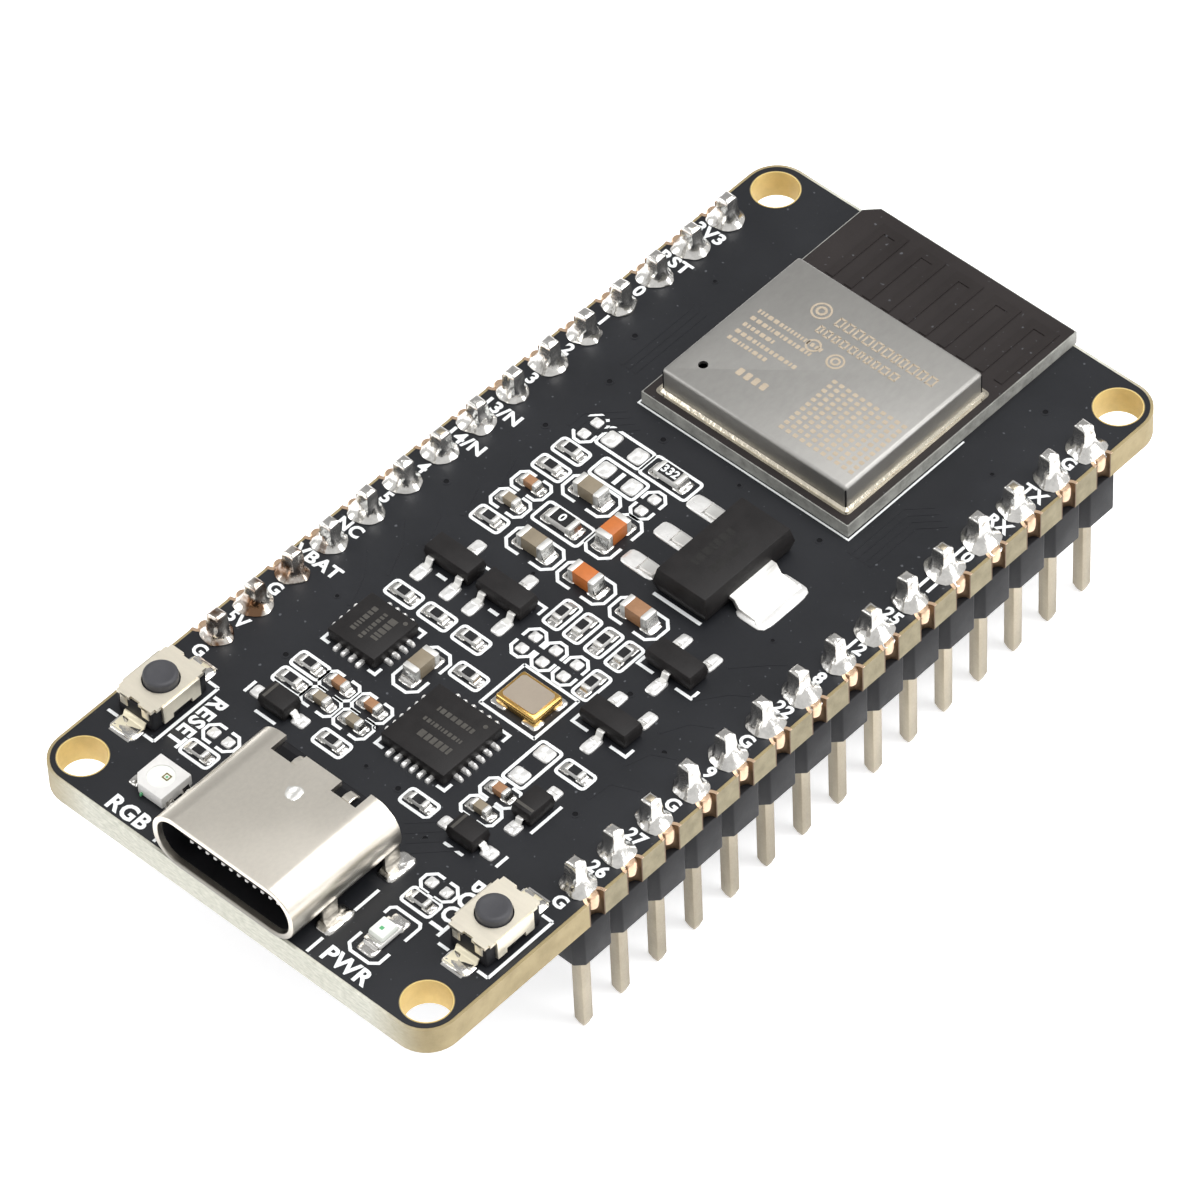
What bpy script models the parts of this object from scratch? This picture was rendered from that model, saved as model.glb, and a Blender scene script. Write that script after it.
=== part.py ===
"""Microcontroller development board: radio module, USB socket, two buttons, two pin headers.

Metres, +Z up. The origin is under the middle of the board, level with the pin tips that it
stands on. +Y runs to the radio module's end and the USB mouth faces -Y. Every size below is in
millimetres, and heights count from the board's underside.
"""
import math

import bmesh
import bpy
from mathutils import Vector

MM = 0.001

# Board
BOARD_WIDE = 25.4
BOARD_LONG = 51.6
BOARD_THICK = 1.6
BOARD_CORNER = 1.8
SCREW_HOLE_X = 11.0
SCREW_HOLE_Y = 24.05
SCREW_HOLE_R = 1.22

# Pin headers: two rows on the standard 2.54 mm pitch
PINS = 15
PITCH = 2.54
ROW_X = 11.43
FIRST_PIN_Y = -14.58
PIN_WIDE = 0.64
PIN_POINT = 0.34
PIN_TAPER = 0.45
PIN_ABOVE = 1.55
PIN_BELOW = 6.0
PIN_HOLE_R = 0.5
EDGE_NOTCH_R = 0.5
HOUSING_WIDE = 2.4
HOUSING_TALL = 2.54
HOUSING_FLAT = 1.65
HOUSING_GROOVE = 0.42

# Clearance under every soldered piece and round every piece that passes through another
GAP = 0.05

# Height of the board's underside over the pin tips
UNDERSIDE = GAP + HOUSING_TALL + PIN_BELOW

# Radio module
MODULE_X = 0.2
MODULE_Y = 17.6
MODULE_WIDE = 13.2
MODULE_LONG = 16.6
MODULE_THICK = 0.8
CAN_X = 0.22
CAN_Y = 14.9
CAN_WIDE = 11.75
CAN_LONG = 9.85
CAN_TALL = 1.5
CAN_WALL = 0.2
CAN_CORNER = 0.45
RADIO_CHIP = (4.0, 4.0, 0.85)
RADIO_CRYSTAL = (2.5, 2.0, 0.6)

# USB socket
USB_WIDE = 8.94
USB_TALL = 3.2
USB_WALL = 0.3
USB_SIDE_R = 1.5
USB_FRONT_Y = -25.9
USB_BACK_Y = -18.75
USB_LEG_Y = (-23.4, -19.3)
USB_LEG_X = 4.32
USB_LEG_WIDE = 1.1
USB_LEG_DROP = 1.0
USB_SLOT = (0.62, 1.7)
USB_TONGUE = (6.7, 0.7)
USB_TONGUE_FRONT = -25.1
USB_BLOCK_FRONT = -20.6

# Push buttons
BUTTON_X = 10.62
BUTTON_Y = -19.12
BUTTON_BASE = (2.36, 3.7)
BUTTON_BASE_TOP = 1.3
BUTTON_WELL_R = 1.06
BUTTON_WELL_FLOOR = 0.45
BUTTON_TOP = 1.5
BUTTON_SHEET = 0.13
BUTTON_HOLE_R = 0.99
PLUNGER_R = 0.95
PLUNGER_TOP = 1.95
PLUNGER_FLANGE_R = 1.02
PLUNGER_FLANGE = (0.98, 1.22)
PLUNGER_NUB = (0.5, 0.93)
DOME_R = 0.92
DOME_APEX = 0.88
DOME_SHEET = 0.06
TERMINAL_WIDE = 1.45
TERMINAL_OUT = 2.85
TERMINAL_TALL = 0.2

# Voltage regulator
REGULATOR_AT = (3.77, 3.95)
REGULATOR_BODY = (3.4, 6.3)
REGULATOR_TOP = (3.1, 5.95)
REGULATOR_TALL = 1.6
REGULATOR_PITCH = 2.3

# Flat chips: name, middle, size
CHIPS = (
    ("usb_serial_chip", (-5.9, -9.85), (3.0, 3.0, 0.75)),
    ("usb_hub_chip", (0.9, -12.35), (4.0, 4.0, 0.75)),
)
HUB_CRYSTAL_AT = (2.4, -8.05)
HUB_CRYSTAL = (2.5, 2.0, 0.6)

# Three-lead transistors and two-lead diodes: name, middle, turn in degrees
TRANSISTORS = (
    ("transistor_a", (-6.0, -4.15), 0),
    ("transistor_b", (-2.65, -4.15), 0),
    ("transistor_c", (6.25, -2.1), 180),
    ("transistor_d", (6.35, -6.7), 180),
)
DIODES = (
    ("diode_a", (7.05, -12.75), 90),
    ("diode_b", (5.9, -15.9), 0),
    ("diode_c", (-6.15, -15.9), 0),
)

# Light emitting diodes
RGB_LED_AT = (-6.9, -22.95)
RGB_LED = (2.0, 2.0, 0.8)
POWER_LED_AT = (6.93, -22.6)
POWER_LED = (1.2, 2.1, 0.7)

# Colour, roughness and metallic value of each material
LOOKS = {
    "black_board": ((0.018, 0.019, 0.022), 0.45, 0.0),
    "black_plastic": ((0.030, 0.030, 0.034), 0.55, 0.0),
    "pin_gold": ((0.72, 0.64, 0.46), 0.32, 1.0),
    "shield_steel": ((0.55, 0.55, 0.54), 0.35, 1.0),
    "socket_steel": ((0.74, 0.71, 0.66), 0.30, 1.0),
    "chip_black": ((0.022, 0.021, 0.021), 0.50, 0.0),
    "crystal_lid": ((0.72, 0.68, 0.58), 0.30, 1.0),
    "button_cover": ((0.74, 0.69, 0.60), 0.35, 1.0),
    "button_grey": ((0.075, 0.073, 0.078), 0.45, 0.0),
    "spring_steel": ((0.66, 0.66, 0.66), 0.25, 1.0),
    "led_white": ((0.86, 0.87, 0.84), 0.40, 0.0),
}


# ---------------------------------------------------------------- modelling tools

def clear_scene():
    for obj in list(bpy.data.objects):
        bpy.data.objects.remove(obj, do_unlink=True)


def get_material(name):
    if name in bpy.data.materials:
        return bpy.data.materials[name]
    colour, rough, metal = LOOKS[name]
    mat = bpy.data.materials.new(name)
    mat.use_nodes = True
    shader = mat.node_tree.nodes["Principled BSDF"]
    shader.inputs["Base Color"].default_value = (*colour, 1.0)
    shader.inputs["Roughness"].default_value = rough
    shader.inputs["Metallic"].default_value = metal
    return mat


def add_group(name, at=(0.0, 0.0, 0.0), parent="dev_board"):
    """An empty that holds the pieces of one assembly."""
    empty = bpy.data.objects.new(name, None)
    empty.location = Vector(at) * MM
    if name != parent:
        empty.parent = bpy.data.objects[parent]
    bpy.context.scene.collection.objects.link(empty)
    return empty


def add_object(name, bm, look, parent=None, at=(0.0, 0.0, 0.0), turn=0.0, smooth=None):
    """Make the named object from bm, place it in its parent and shade it."""
    bmesh.ops.recalc_face_normals(bm, faces=bm.faces[:])
    mesh = bpy.data.meshes.new(name)
    bm.to_mesh(mesh)
    bm.free()
    if smooth is not None:
        mesh.shade_smooth()
        mesh.set_sharp_from_angle(angle=math.radians(smooth))
    mesh.materials.append(get_material(look))
    obj = bpy.data.objects.new(name, mesh)
    obj.location = Vector(at) * MM
    obj.rotation_euler.z = math.radians(turn)
    obj.parent = parent or bpy.data.objects["dev_board"]
    bpy.context.scene.collection.objects.link(obj)
    return obj


def combine(target, name, bm, operation):
    """Join the shape in bm to the target, or cut it out of the target."""
    bmesh.ops.recalc_face_normals(bm, faces=bm.faces[:])
    mesh = bpy.data.meshes.new(name)
    bm.to_mesh(mesh)
    bm.free()
    tool = bpy.data.objects.new(name, mesh)
    tool.parent = target
    tool.hide_render = True
    tool.display_type = 'WIRE'
    bpy.context.scene.collection.objects.link(tool)
    modifier = target.modifiers.new(name, 'BOOLEAN')
    modifier.operation = operation
    modifier.solver = 'EXACT'
    modifier.object = tool


def arc(centre, radius, start, end, steps):
    """Points of an arc from start to end degrees, both ends included."""
    angles = [math.radians(start + (end - start) * i / steps) for i in range(steps + 1)]
    return [(centre[0] + radius * math.cos(a), centre[1] + radius * math.sin(a)) for a in angles]


def circle(centre, radius, steps):
    return arc(centre, radius, 0.0, 360.0, steps)[:-1]


def rectangle(wide, deep, corner=0.0, steps=2, centre=(0.0, 0.0)):
    """Points of a rectangle, with round corners when corner is not zero."""
    x, y = wide / 2 - corner, deep / 2 - corner
    points = []
    for quarter, (sx, sy) in enumerate(((1, 1), (-1, 1), (-1, -1), (1, -1))):
        middle = (centre[0] + sx * x, centre[1] + sy * y)
        if corner:
            points += arc(middle, corner, 90 * quarter, 90 * quarter + 90, steps)
        else:
            points.append(middle)
    return points


def at_height(points, z):
    return [(x, y, z) for x, y in points]


def loft(bm, rings, cyclic=False):
    """Skin a chain of closed rings with the same number of points, and cap its two ends."""
    loops = []
    for ring in rings:
        verts = [bm.verts.new(Vector(point) * MM) for point in ring]
        edges = [bm.edges.new((verts[i - 1], verts[i])) for i in range(len(verts))]
        loops.append((verts, edges))
    chain = list(zip(loops, loops[1:]))
    if cyclic:
        chain.append((loops[-1], loops[0]))
    for (_, low), (_, high) in chain:
        bmesh.ops.bridge_loops(bm, edges=low + high)
    if not cyclic:
        bm.faces.new(loops[0][0])
        bm.faces.new(loops[-1][0])


def extrude_faces(bm, faces, move):
    grown = bmesh.ops.extrude_face_region(bm, geom=faces)["geom"]
    moved = [item for item in grown if isinstance(item, bmesh.types.BMVert)]
    bmesh.ops.translate(bm, vec=Vector(move) * MM, verts=moved)


def prism(bm, outline, axis, low, high):
    """Extrude a flat outline along X, Y or Z, from low to high."""
    places = {"X": lambda a, b: (low, a, b), "Y": lambda a, b: (a, low, b), "Z": lambda a, b: (a, b, low)}
    moves = {"X": (high - low, 0, 0), "Y": (0, high - low, 0), "Z": (0, 0, high - low)}
    verts = [bm.verts.new(Vector(places[axis](*point)) * MM) for point in outline]
    extrude_faces(bm, [bm.faces.new(verts)], moves[axis])


def box(bm, low, high):
    outline = [(low[0], low[1]), (high[0], low[1]), (high[0], high[1]), (low[0], high[1])]
    prism(bm, outline, "Z", low[2], high[2])


def pierced_plate(bm, outline, holes, low, high):
    """A flat plate with the given outline and holes, from z = low to high."""
    edges = []
    for loop in [outline] + holes:
        verts = [bm.verts.new(Vector((x, y, low)) * MM) for x, y in loop]
        edges += [bm.edges.new((verts[i - 1], verts[i])) for i in range(len(verts))]
    bmesh.ops.triangle_fill(bm, edges=edges, use_beauty=True, normal=(0.0, 0.0, 1.0))
    extrude_faces(bm, bm.faces[:], (0, 0, high - low))


def turn_profile(bm, profile, steps):
    """Spin a half profile of (radius, z) points round Z; its two ends lie on the axis."""
    verts = [bm.verts.new(Vector((radius, 0.0, z)) * MM) for radius, z in profile]
    edges = [bm.edges.new(pair) for pair in zip(verts, verts[1:])]
    bmesh.ops.spin(bm, geom=verts + edges, cent=(0, 0, 0), axis=(0, 0, 1),
                   angle=math.tau, steps=steps, use_merge=True)
    bmesh.ops.remove_doubles(bm, verts=bm.verts[:], dist=1e-6)


def pin_y(index):
    return FIRST_PIN_Y + PITCH * index


# ---------------------------------------------------------------- board and headers

def board_outline():
    """Round-cornered outline with a half-round plated notch beside every pin."""
    half_w, half_l = BOARD_WIDE / 2, BOARD_LONG / 2
    right, left = [], []
    for index in range(PINS):
        y = pin_y(index)
        right += arc((half_w, y), EDGE_NOTCH_R, 270, 90, 4)
        left += [(-x, yy) for x, yy in arc((half_w, y), EDGE_NOTCH_R, 270, 90, 4)]
    corner = (half_w - BOARD_CORNER, half_l - BOARD_CORNER)
    back_right = arc(corner, BOARD_CORNER, 0, 90, 6)
    back_left = arc((-corner[0], corner[1]), BOARD_CORNER, 90, 180, 6)
    front_left = arc((-corner[0], -corner[1]), BOARD_CORNER, 180, 270, 6)
    front_right = arc((corner[0], -corner[1]), BOARD_CORNER, 270, 360, 6)
    return right + back_right + back_left + left[::-1] + front_left + front_right


def make_board():
    holes = []
    for side in (-1, 1):
        holes += [circle((side * ROW_X, pin_y(i)), PIN_HOLE_R, 8) for i in range(PINS)]
        for end in (-1, 1):
            holes.append(circle((side * SCREW_HOLE_X, end * SCREW_HOLE_Y), SCREW_HOLE_R, 24))
        for y in USB_LEG_Y:
            slot = rectangle(*USB_SLOT, corner=0.3, centre=(side * USB_LEG_X, y))
            holes.append(slot)
    bm = bmesh.new()
    pierced_plate(bm, board_outline(), holes, 0.0, BOARD_THICK)
    add_object("circuit_board", bm, "black_board")


def housing_outline():
    """Outline of a header strip: one cell for each pin, with a V groove between cells."""
    half_w, half_flat, half_pitch = HOUSING_WIDE / 2, HOUSING_FLAT / 2, PITCH / 2
    side = []
    for index in range(PINS):
        y = pin_y(index)
        side += [(half_w, y - half_flat), (half_w, y + half_flat)]
        if index < PINS - 1:
            side.append((half_w - HOUSING_GROOVE, y + half_pitch))
    start, end = pin_y(0) - half_pitch, pin_y(PINS - 1) + half_pitch
    inset = half_w - HOUSING_GROOVE
    back = [(inset, end), (-inset, end)]
    front = [(-inset, start), (inset, start)]
    return side + back + [(-x, y) for x, y in reversed(side)] + front


def make_header(side_name, side):
    group = add_group(side_name + "_header", (side * ROW_X, 0.0, 0.0))
    top = -GAP
    bottom = top - HOUSING_TALL
    hole = PIN_WIDE + 2 * GAP
    holes = [rectangle(hole, hole, centre=(0.0, pin_y(i))) for i in range(PINS)]
    bm = bmesh.new()
    pierced_plate(bm, housing_outline(), holes, bottom, top)
    add_object(side_name + "_header_housing", bm, "black_plastic", group)
    tip, crown = bottom - PIN_BELOW, BOARD_THICK + PIN_ABOVE
    shape = ((PIN_POINT, tip), (PIN_WIDE, tip + PIN_TAPER), (PIN_WIDE, crown - PIN_TAPER), (PIN_POINT, crown))
    for index in range(PINS):
        bm = bmesh.new()
        loft(bm, [at_height(rectangle(wide, wide), z) for wide, z in shape])
        name = f"{side_name}_pin_{index + 1:02d}"
        add_object(name, bm, "pin_gold", group, at=(0.0, pin_y(index), 0.0))


# ---------------------------------------------------------------- radio module

def make_radio_module():
    group = add_group("radio_module", (MODULE_X, MODULE_Y, BOARD_THICK + GAP))
    bm = bmesh.new()
    plate = rectangle(MODULE_WIDE, MODULE_LONG, corner=0.3)
    loft(bm, [at_height(plate, 0.0), at_height(plate, MODULE_THICK)])
    add_object("module_board", bm, "black_board", group)

    floor = MODULE_THICK + GAP
    at = (CAN_X - MODULE_X, CAN_Y - MODULE_Y, floor)
    outer = rectangle(CAN_WIDE, CAN_LONG, CAN_CORNER)
    lid = rectangle(CAN_WIDE - 0.3, CAN_LONG - 0.3, CAN_CORNER)
    bm = bmesh.new()
    loft(bm, [at_height(outer, 0.0), at_height(outer, CAN_TALL - 0.15), at_height(lid, CAN_TALL)])
    bmesh.ops.recalc_face_normals(bm, faces=bm.faces[:])
    opening = min(bm.faces, key=lambda face: face.calc_center_median().z)
    bmesh.ops.inset_region(bm, faces=[opening], thickness=CAN_WALL * MM)
    extrude_faces(bm, [opening], (0, 0, CAN_TALL - CAN_WALL))
    bmesh.ops.delete(bm, geom=[opening], context='FACES_ONLY')
    add_object("shield_can", bm, "shield_steel", group, at=at, smooth=30)

    wide, long, tall = RADIO_CHIP
    bm = bmesh.new()
    box(bm, (-wide / 2, -long / 2, 0), (wide / 2, long / 2, tall))
    add_object("radio_chip", bm, "chip_black", group, at=(at[0] - 1.5, at[1], floor))
    wide, long, tall = RADIO_CRYSTAL
    bm = bmesh.new()
    box(bm, (-wide / 2, -long / 2, 0), (wide / 2, long / 2, tall))
    add_object("radio_crystal", bm, "crystal_lid", group, at=(at[0] + 3.2, at[1] - 1.5, floor))


# ---------------------------------------------------------------- USB socket

def socket_ring(inset, y):
    """Cross-section of the socket shell, inset from its outside, at the given y."""
    wide, tall = USB_WIDE - 2 * inset, USB_TALL - 2 * inset
    section = rectangle(wide, tall, corner=USB_SIDE_R - inset, steps=5)
    return [(x, y, z + USB_TALL / 2) for x, z in section]


def make_usb_socket():
    group = add_group("usb_socket", (0.0, 0.0, BOARD_THICK + GAP))
    bm = bmesh.new()
    loft(bm, [
        socket_ring(0.0, USB_FRONT_Y), socket_ring(0.0, USB_BACK_Y),
        socket_ring(USB_WALL, USB_BACK_Y), socket_ring(USB_WALL, USB_FRONT_Y),
    ], cyclic=True)
    shell = add_object("usb_shell", bm, "socket_steel", group, smooth=35)

    legs = bmesh.new()
    for side in (-1, 1):
        for y in USB_LEG_Y:
            near, far = side * (USB_LEG_X - 0.12), side * (USB_LEG_X + 0.12)
            low = (min(near, far), y - USB_LEG_WIDE / 2, -USB_LEG_DROP)
            box(legs, low, (max(near, far), y + USB_LEG_WIDE / 2, USB_TALL / 2))
    combine(shell, "usb_shell_legs", legs, 'UNION')

    notches = bmesh.new()
    for side in (-1, 1):
        near, far = side * 1.2, side * 2.9
        low = (min(near, far), USB_BACK_Y - 0.95, USB_TALL - 2 * USB_WALL)
        box(notches, low, (max(near, far), USB_BACK_Y + 1.0, USB_TALL + 1.0))
    combine(shell, "usb_shell_notches", notches, 'DIFFERENCE')

    inset = USB_WALL + GAP
    wide, tall = USB_WIDE - 2 * inset, USB_TALL - 2 * inset
    back = rectangle(wide, tall, corner=USB_SIDE_R - inset, steps=5)
    middle = USB_TALL / 2
    bm = bmesh.new()
    loft(bm, [
        [(x, USB_BLOCK_FRONT, z + middle) for x, z in back],
        [(x, USB_BACK_Y - GAP, z + middle) for x, z in back],
    ])
    tongue = add_object("usb_tongue", bm, "black_plastic", group)
    blade = bmesh.new()
    half_w, half_t = USB_TONGUE[0] / 2, USB_TONGUE[1] / 2
    box(blade, (-half_w, USB_TONGUE_FRONT, middle - half_t), (half_w, USB_BLOCK_FRONT + 0.5, middle + half_t))
    combine(tongue, "usb_tongue_blade", blade, 'UNION')


# ---------------------------------------------------------------- push buttons

def make_button(name, side):
    """Press button: base with a round well, snap dome, plunger and sheet-metal cover."""
    group = add_group(name, (side * BUTTON_X, BUTTON_Y, BOARD_THICK))
    half_w, half_l = BUTTON_BASE[0] / 2, BUTTON_BASE[1] / 2

    bm = bmesh.new()
    box(bm, (-half_w, -half_l, GAP), (half_w, half_l, BUTTON_BASE_TOP))
    base = add_object(name + "_base", bm, "black_plastic", group)
    half_t = TERMINAL_WIDE / 2
    ends = bmesh.new()
    for end in (-1, 1):
        inner, outer = end * (half_l - 0.3), end * TERMINAL_OUT
        low = (-half_t, min(inner, outer), GAP)
        box(ends, low, (half_t, max(inner, outer), GAP + TERMINAL_TALL))
    combine(base, name + "_terminals", ends, 'UNION')
    well = bmesh.new()
    prism(well, circle((0, 0), BUTTON_WELL_R, 32), "Z", BUTTON_WELL_FLOOR, BUTTON_TOP)
    combine(base, name + "_well", well, 'DIFFERENCE')

    radius = [(DOME_R * math.cos(math.radians(a)), math.radians(a)) for a in (90, 60, 35, 0)]
    floor = BUTTON_WELL_FLOOR + GAP
    rise = DOME_APEX - floor - DOME_SHEET
    outer = [(r, floor + DOME_SHEET + rise * math.sin(a)) for r, a in radius]
    under = [(r * 0.96, floor + rise * math.sin(a)) for r, a in reversed(radius)]
    outer[0] = (0.0, outer[0][1])
    under[-1] = (0.0, under[-1][1])
    bm = bmesh.new()
    turn_profile(bm, outer + under, 20)
    add_object(name + "_dome", bm, "spring_steel", group, smooth=40)

    low, high = PLUNGER_FLANGE
    nub_r, nub_z = PLUNGER_NUB
    bm = bmesh.new()
    turn_profile(bm, [
        (0.0, nub_z), (nub_r, nub_z), (nub_r, low), (PLUNGER_FLANGE_R, low), (PLUNGER_FLANGE_R, high),
        (PLUNGER_R, high), (PLUNGER_R, PLUNGER_TOP - 0.1), (PLUNGER_R - 0.1, PLUNGER_TOP), (0.0, PLUNGER_TOP),
    ], 32)
    add_object(name + "_plunger", bm, "button_grey", group, smooth=35)

    sheet = BUTTON_SHEET
    out = half_w + GAP + sheet
    under_plate = BUTTON_TOP - sheet
    bm = bmesh.new()
    plate = rectangle(2 * out, BUTTON_BASE[1], corner=0.15, steps=1)
    pierced_plate(bm, plate, [circle((0, 0), BUTTON_HOLE_R, 32)], under_plate, BUTTON_TOP)
    cover = add_object(name + "_cover", bm, "button_cover", group)
    flanges = bmesh.new()
    reach, leg, foot, strip = 1.35, 0.35, 0.12, 1.0
    flange = [(-reach, foot), (-reach + leg, foot), (-reach + leg, strip), (reach - leg, strip),
              (reach - leg, foot), (reach, foot), (reach, BUTTON_TOP - sheet / 2), (-reach, BUTTON_TOP - sheet / 2)]
    for way in (-1, 1):
        near, far = way * (out - sheet), way * out
        prism(flanges, flange, "X", min(near, far), max(near, far))
    combine(cover, name + "_flanges", flanges, 'UNION')


# ---------------------------------------------------------------- chips and small parts

def bent_lead(start, turn_x, foot_x, height, thick):
    """Side outline of a gull-wing lead from the body at start out to its foot."""
    way = 1 if foot_x > start else -1
    return [
        (start, height), (turn_x, height), (turn_x + way * thick, GAP + thick), (foot_x, GAP + thick),
        (foot_x, GAP), (turn_x, GAP), (turn_x - way * thick * 0.4, height - thick), (start, height - thick),
    ]


def make_regulator():
    bm = bmesh.new()
    mid = REGULATOR_TALL * 0.55
    wide, deep = REGULATOR_BODY
    loft(bm, [
        at_height(rectangle(wide - 0.1, deep - 0.1), GAP + 0.05),
        at_height(rectangle(wide, deep), mid),
        at_height(rectangle(*REGULATOR_TOP), REGULATOR_TALL),
    ])
    at = (*REGULATOR_AT, BOARD_THICK)
    body = add_object("voltage_regulator", bm, "chip_black", at=at)
    leads = bmesh.new()
    for step in (-1, 0, 1):
        y = step * REGULATOR_PITCH
        outline = bent_lead(-wide / 2 + 0.3, -wide / 2 - 0.3, -wide / 2 - 1.35, mid, 0.25)
        prism(leads, outline, "Y", y - 0.36, y + 0.36)
    outline = bent_lead(wide / 2 - 0.3, wide / 2 + 0.3, wide / 2 + 1.75, mid, 0.25)
    prism(leads, outline, "Y", -1.5, 1.5)
    combine(body, "regulator_leads", leads, 'UNION')


def make_moulded_part(name, at, turn, size, feet):
    """Small moulded body with gull-wing leads; feet are (x, y, way) with way along Y."""
    wide, deep, tall = size
    bm = bmesh.new()
    loft(bm, [
        at_height(rectangle(wide - 0.1, deep - 0.1), GAP + 0.05),
        at_height(rectangle(wide, deep), tall * 0.5),
        at_height(rectangle(wide - 0.15, deep - 0.15), tall),
    ])
    body = add_object(name, bm, "chip_black", at=(*at, BOARD_THICK), turn=turn)
    leads = bmesh.new()
    for x, half_lead, way in feet:
        start, turn_y, foot_y = way * (deep / 2 - 0.2), way * (deep / 2 + 0.12), way * (deep / 2 + 0.55)
        prism(leads, bent_lead(start, turn_y, foot_y, tall * 0.55, 0.13), "X", x - half_lead, x + half_lead)
    combine(body, name + "_leads", leads, 'UNION')


def make_flat_chip(name, at, size):
    wide, deep, tall = size
    bm = bmesh.new()
    loft(bm, [
        at_height(rectangle(wide, deep), GAP),
        at_height(rectangle(wide, deep), tall - 0.05),
        at_height(rectangle(wide - 0.1, deep - 0.1), tall),
    ])
    add_object(name, bm, "chip_black", at=(*at, BOARD_THICK))


def make_crystal():
    wide, deep, tall = HUB_CRYSTAL
    bm = bmesh.new()
    loft(bm, [
        at_height(rectangle(wide, deep, 0.12, 1), GAP),
        at_height(rectangle(wide, deep, 0.12, 1), tall - 0.15),
        at_height(rectangle(wide - 0.25, deep - 0.25, 0.12, 1), tall),
    ])
    add_object("hub_crystal", bm, "crystal_lid", at=(*HUB_CRYSTAL_AT, BOARD_THICK))


def make_leds():
    wide, deep, tall = RGB_LED
    bm = bmesh.new()
    outline = rectangle(wide, deep)
    outline[2:3] = [(-wide / 2, -deep / 2 + 0.35), (-wide / 2 + 0.35, -deep / 2)]
    prism(bm, outline, "Z", GAP, tall)
    add_object("rgb_led", bm, "led_white", at=(*RGB_LED_AT, BOARD_THICK))
    wide, deep, tall = POWER_LED
    bm = bmesh.new()
    loft(bm, [
        at_height(rectangle(wide, deep), GAP),
        at_height(rectangle(wide, deep), 0.3),
        at_height(rectangle(wide - 0.1, deep * 0.68), 0.32),
        at_height(rectangle(wide - 0.2, deep * 0.62), tall),
    ])
    add_object("power_led", bm, "led_white", at=(*POWER_LED_AT, BOARD_THICK))


def build():
    clear_scene()
    add_group("dev_board", (0.0, 0.0, UNDERSIDE))
    make_board()
    make_header("left", -1)
    make_header("right", 1)
    make_radio_module()
    make_usb_socket()
    make_button("reset_button", -1)
    make_button("boot_button", 1)
    make_regulator()
    for name, at, size in CHIPS:
        make_flat_chip(name, at, size)
    make_crystal()
    for name, at, turn in TRANSISTORS:
        make_moulded_part(name, at, turn, (2.9, 1.3, 1.0), ((0.0, 0.2, 1), (-0.95, 0.2, -1), (0.95, 0.2, -1)))
    for name, at, turn in DIODES:
        make_moulded_part(name, at, turn + 90, (1.25, 1.7, 0.9), ((0.0, 0.16, 1), (0.0, 0.16, -1)))
    make_leds()
    bpy.context.view_layer.update()


build()
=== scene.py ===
"""Looks of a microcontroller development board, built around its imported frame.

Sizes inside the modelling functions are in millimetres; heights count from the board's top face.
"""
import math
import random

import bmesh
import bpy
from mathutils import Matrix, Vector, noise


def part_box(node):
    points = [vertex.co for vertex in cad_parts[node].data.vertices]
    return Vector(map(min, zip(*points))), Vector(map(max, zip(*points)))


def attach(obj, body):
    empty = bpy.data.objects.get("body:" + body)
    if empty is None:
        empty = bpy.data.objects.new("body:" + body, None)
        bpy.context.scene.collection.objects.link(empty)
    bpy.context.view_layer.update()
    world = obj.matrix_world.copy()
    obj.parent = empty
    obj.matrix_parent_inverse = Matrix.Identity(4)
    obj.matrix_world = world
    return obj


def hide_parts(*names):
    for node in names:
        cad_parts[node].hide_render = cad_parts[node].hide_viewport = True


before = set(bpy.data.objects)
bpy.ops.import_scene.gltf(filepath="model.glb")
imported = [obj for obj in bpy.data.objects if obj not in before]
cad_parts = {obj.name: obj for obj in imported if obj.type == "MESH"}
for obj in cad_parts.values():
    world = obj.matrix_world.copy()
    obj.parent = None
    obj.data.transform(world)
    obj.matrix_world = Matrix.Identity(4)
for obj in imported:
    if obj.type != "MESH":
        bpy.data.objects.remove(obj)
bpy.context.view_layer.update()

bl_info = {
    "name": "Development Board Pieces",
    "version": (1, 0, 0),
    "blender": (4, 5, 0),
    "location": "3D View > Sidebar > Board",
    "description": "Builds the pieces and finishes of a microcontroller development board",
    "category": "Add Mesh",
}

MM = 0.001
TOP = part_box("circuit_board")[1].z / MM
PITCH = 2.54
PINS = 15
INK_TALL = 0.012

# Legends beside the pins, from the first pin at the socket's end
LEFT_LABELS = ("G", "5V", "G", "VBAT", "NC", "5", "4", "14/N", "13/N", "3", "2", "1", "0", "RST", "3V3")
RIGHT_LABELS = ("G", "26", "27", "G", "9", "G", "22", "8", "12", "25", "11", "10", "RX", "TX", "G")

SCREW_INSET = (1.7, 1.75)
SCREW_RADIUS = 1.22
PIN_HOLE = 0.5
NOTCH_RADIUS = 0.53
BOARD_CORNER = 1.8
TRACE_STEP = 0.42
DIRECTIONS = {"left": -1, "right": 1}

# The socket's shell stands a little off the board; its four legs are in two rows
SHELL_TALL = 3.2
SHELL_MIDDLE = 0.05 + SHELL_TALL / 2
LEG_ROWS = (-23.4, -19.3)
SHEET_THICK = 0.2
BUTTON_TOP = 1.5
LEAD_PITCH = 0.5
TURNED_TRANSISTORS = "cd"
BROWNED_JOINTS = 3
OUTWARD_FLARE = 0.42
FLOOR_WIDE = 2400
# Stretch along the board whose side faces get a darker copy of the laminate as painted shade
SHADED_SIDE = (-14, 20.5)

# Where the laminate turns pale, and where painted shade darkens the socket's walls toward the board, in
# metres; then the way to the dark card
PALE_ALONG = (0.0249, 0.0257)
PALE_ACROSS = (0.0121, 0.0090)
FOOT_SHADE_HEIGHTS = (0.0022, 0.0002)
DARK_CARD = (-0.464, 0.466, 0.753)

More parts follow.
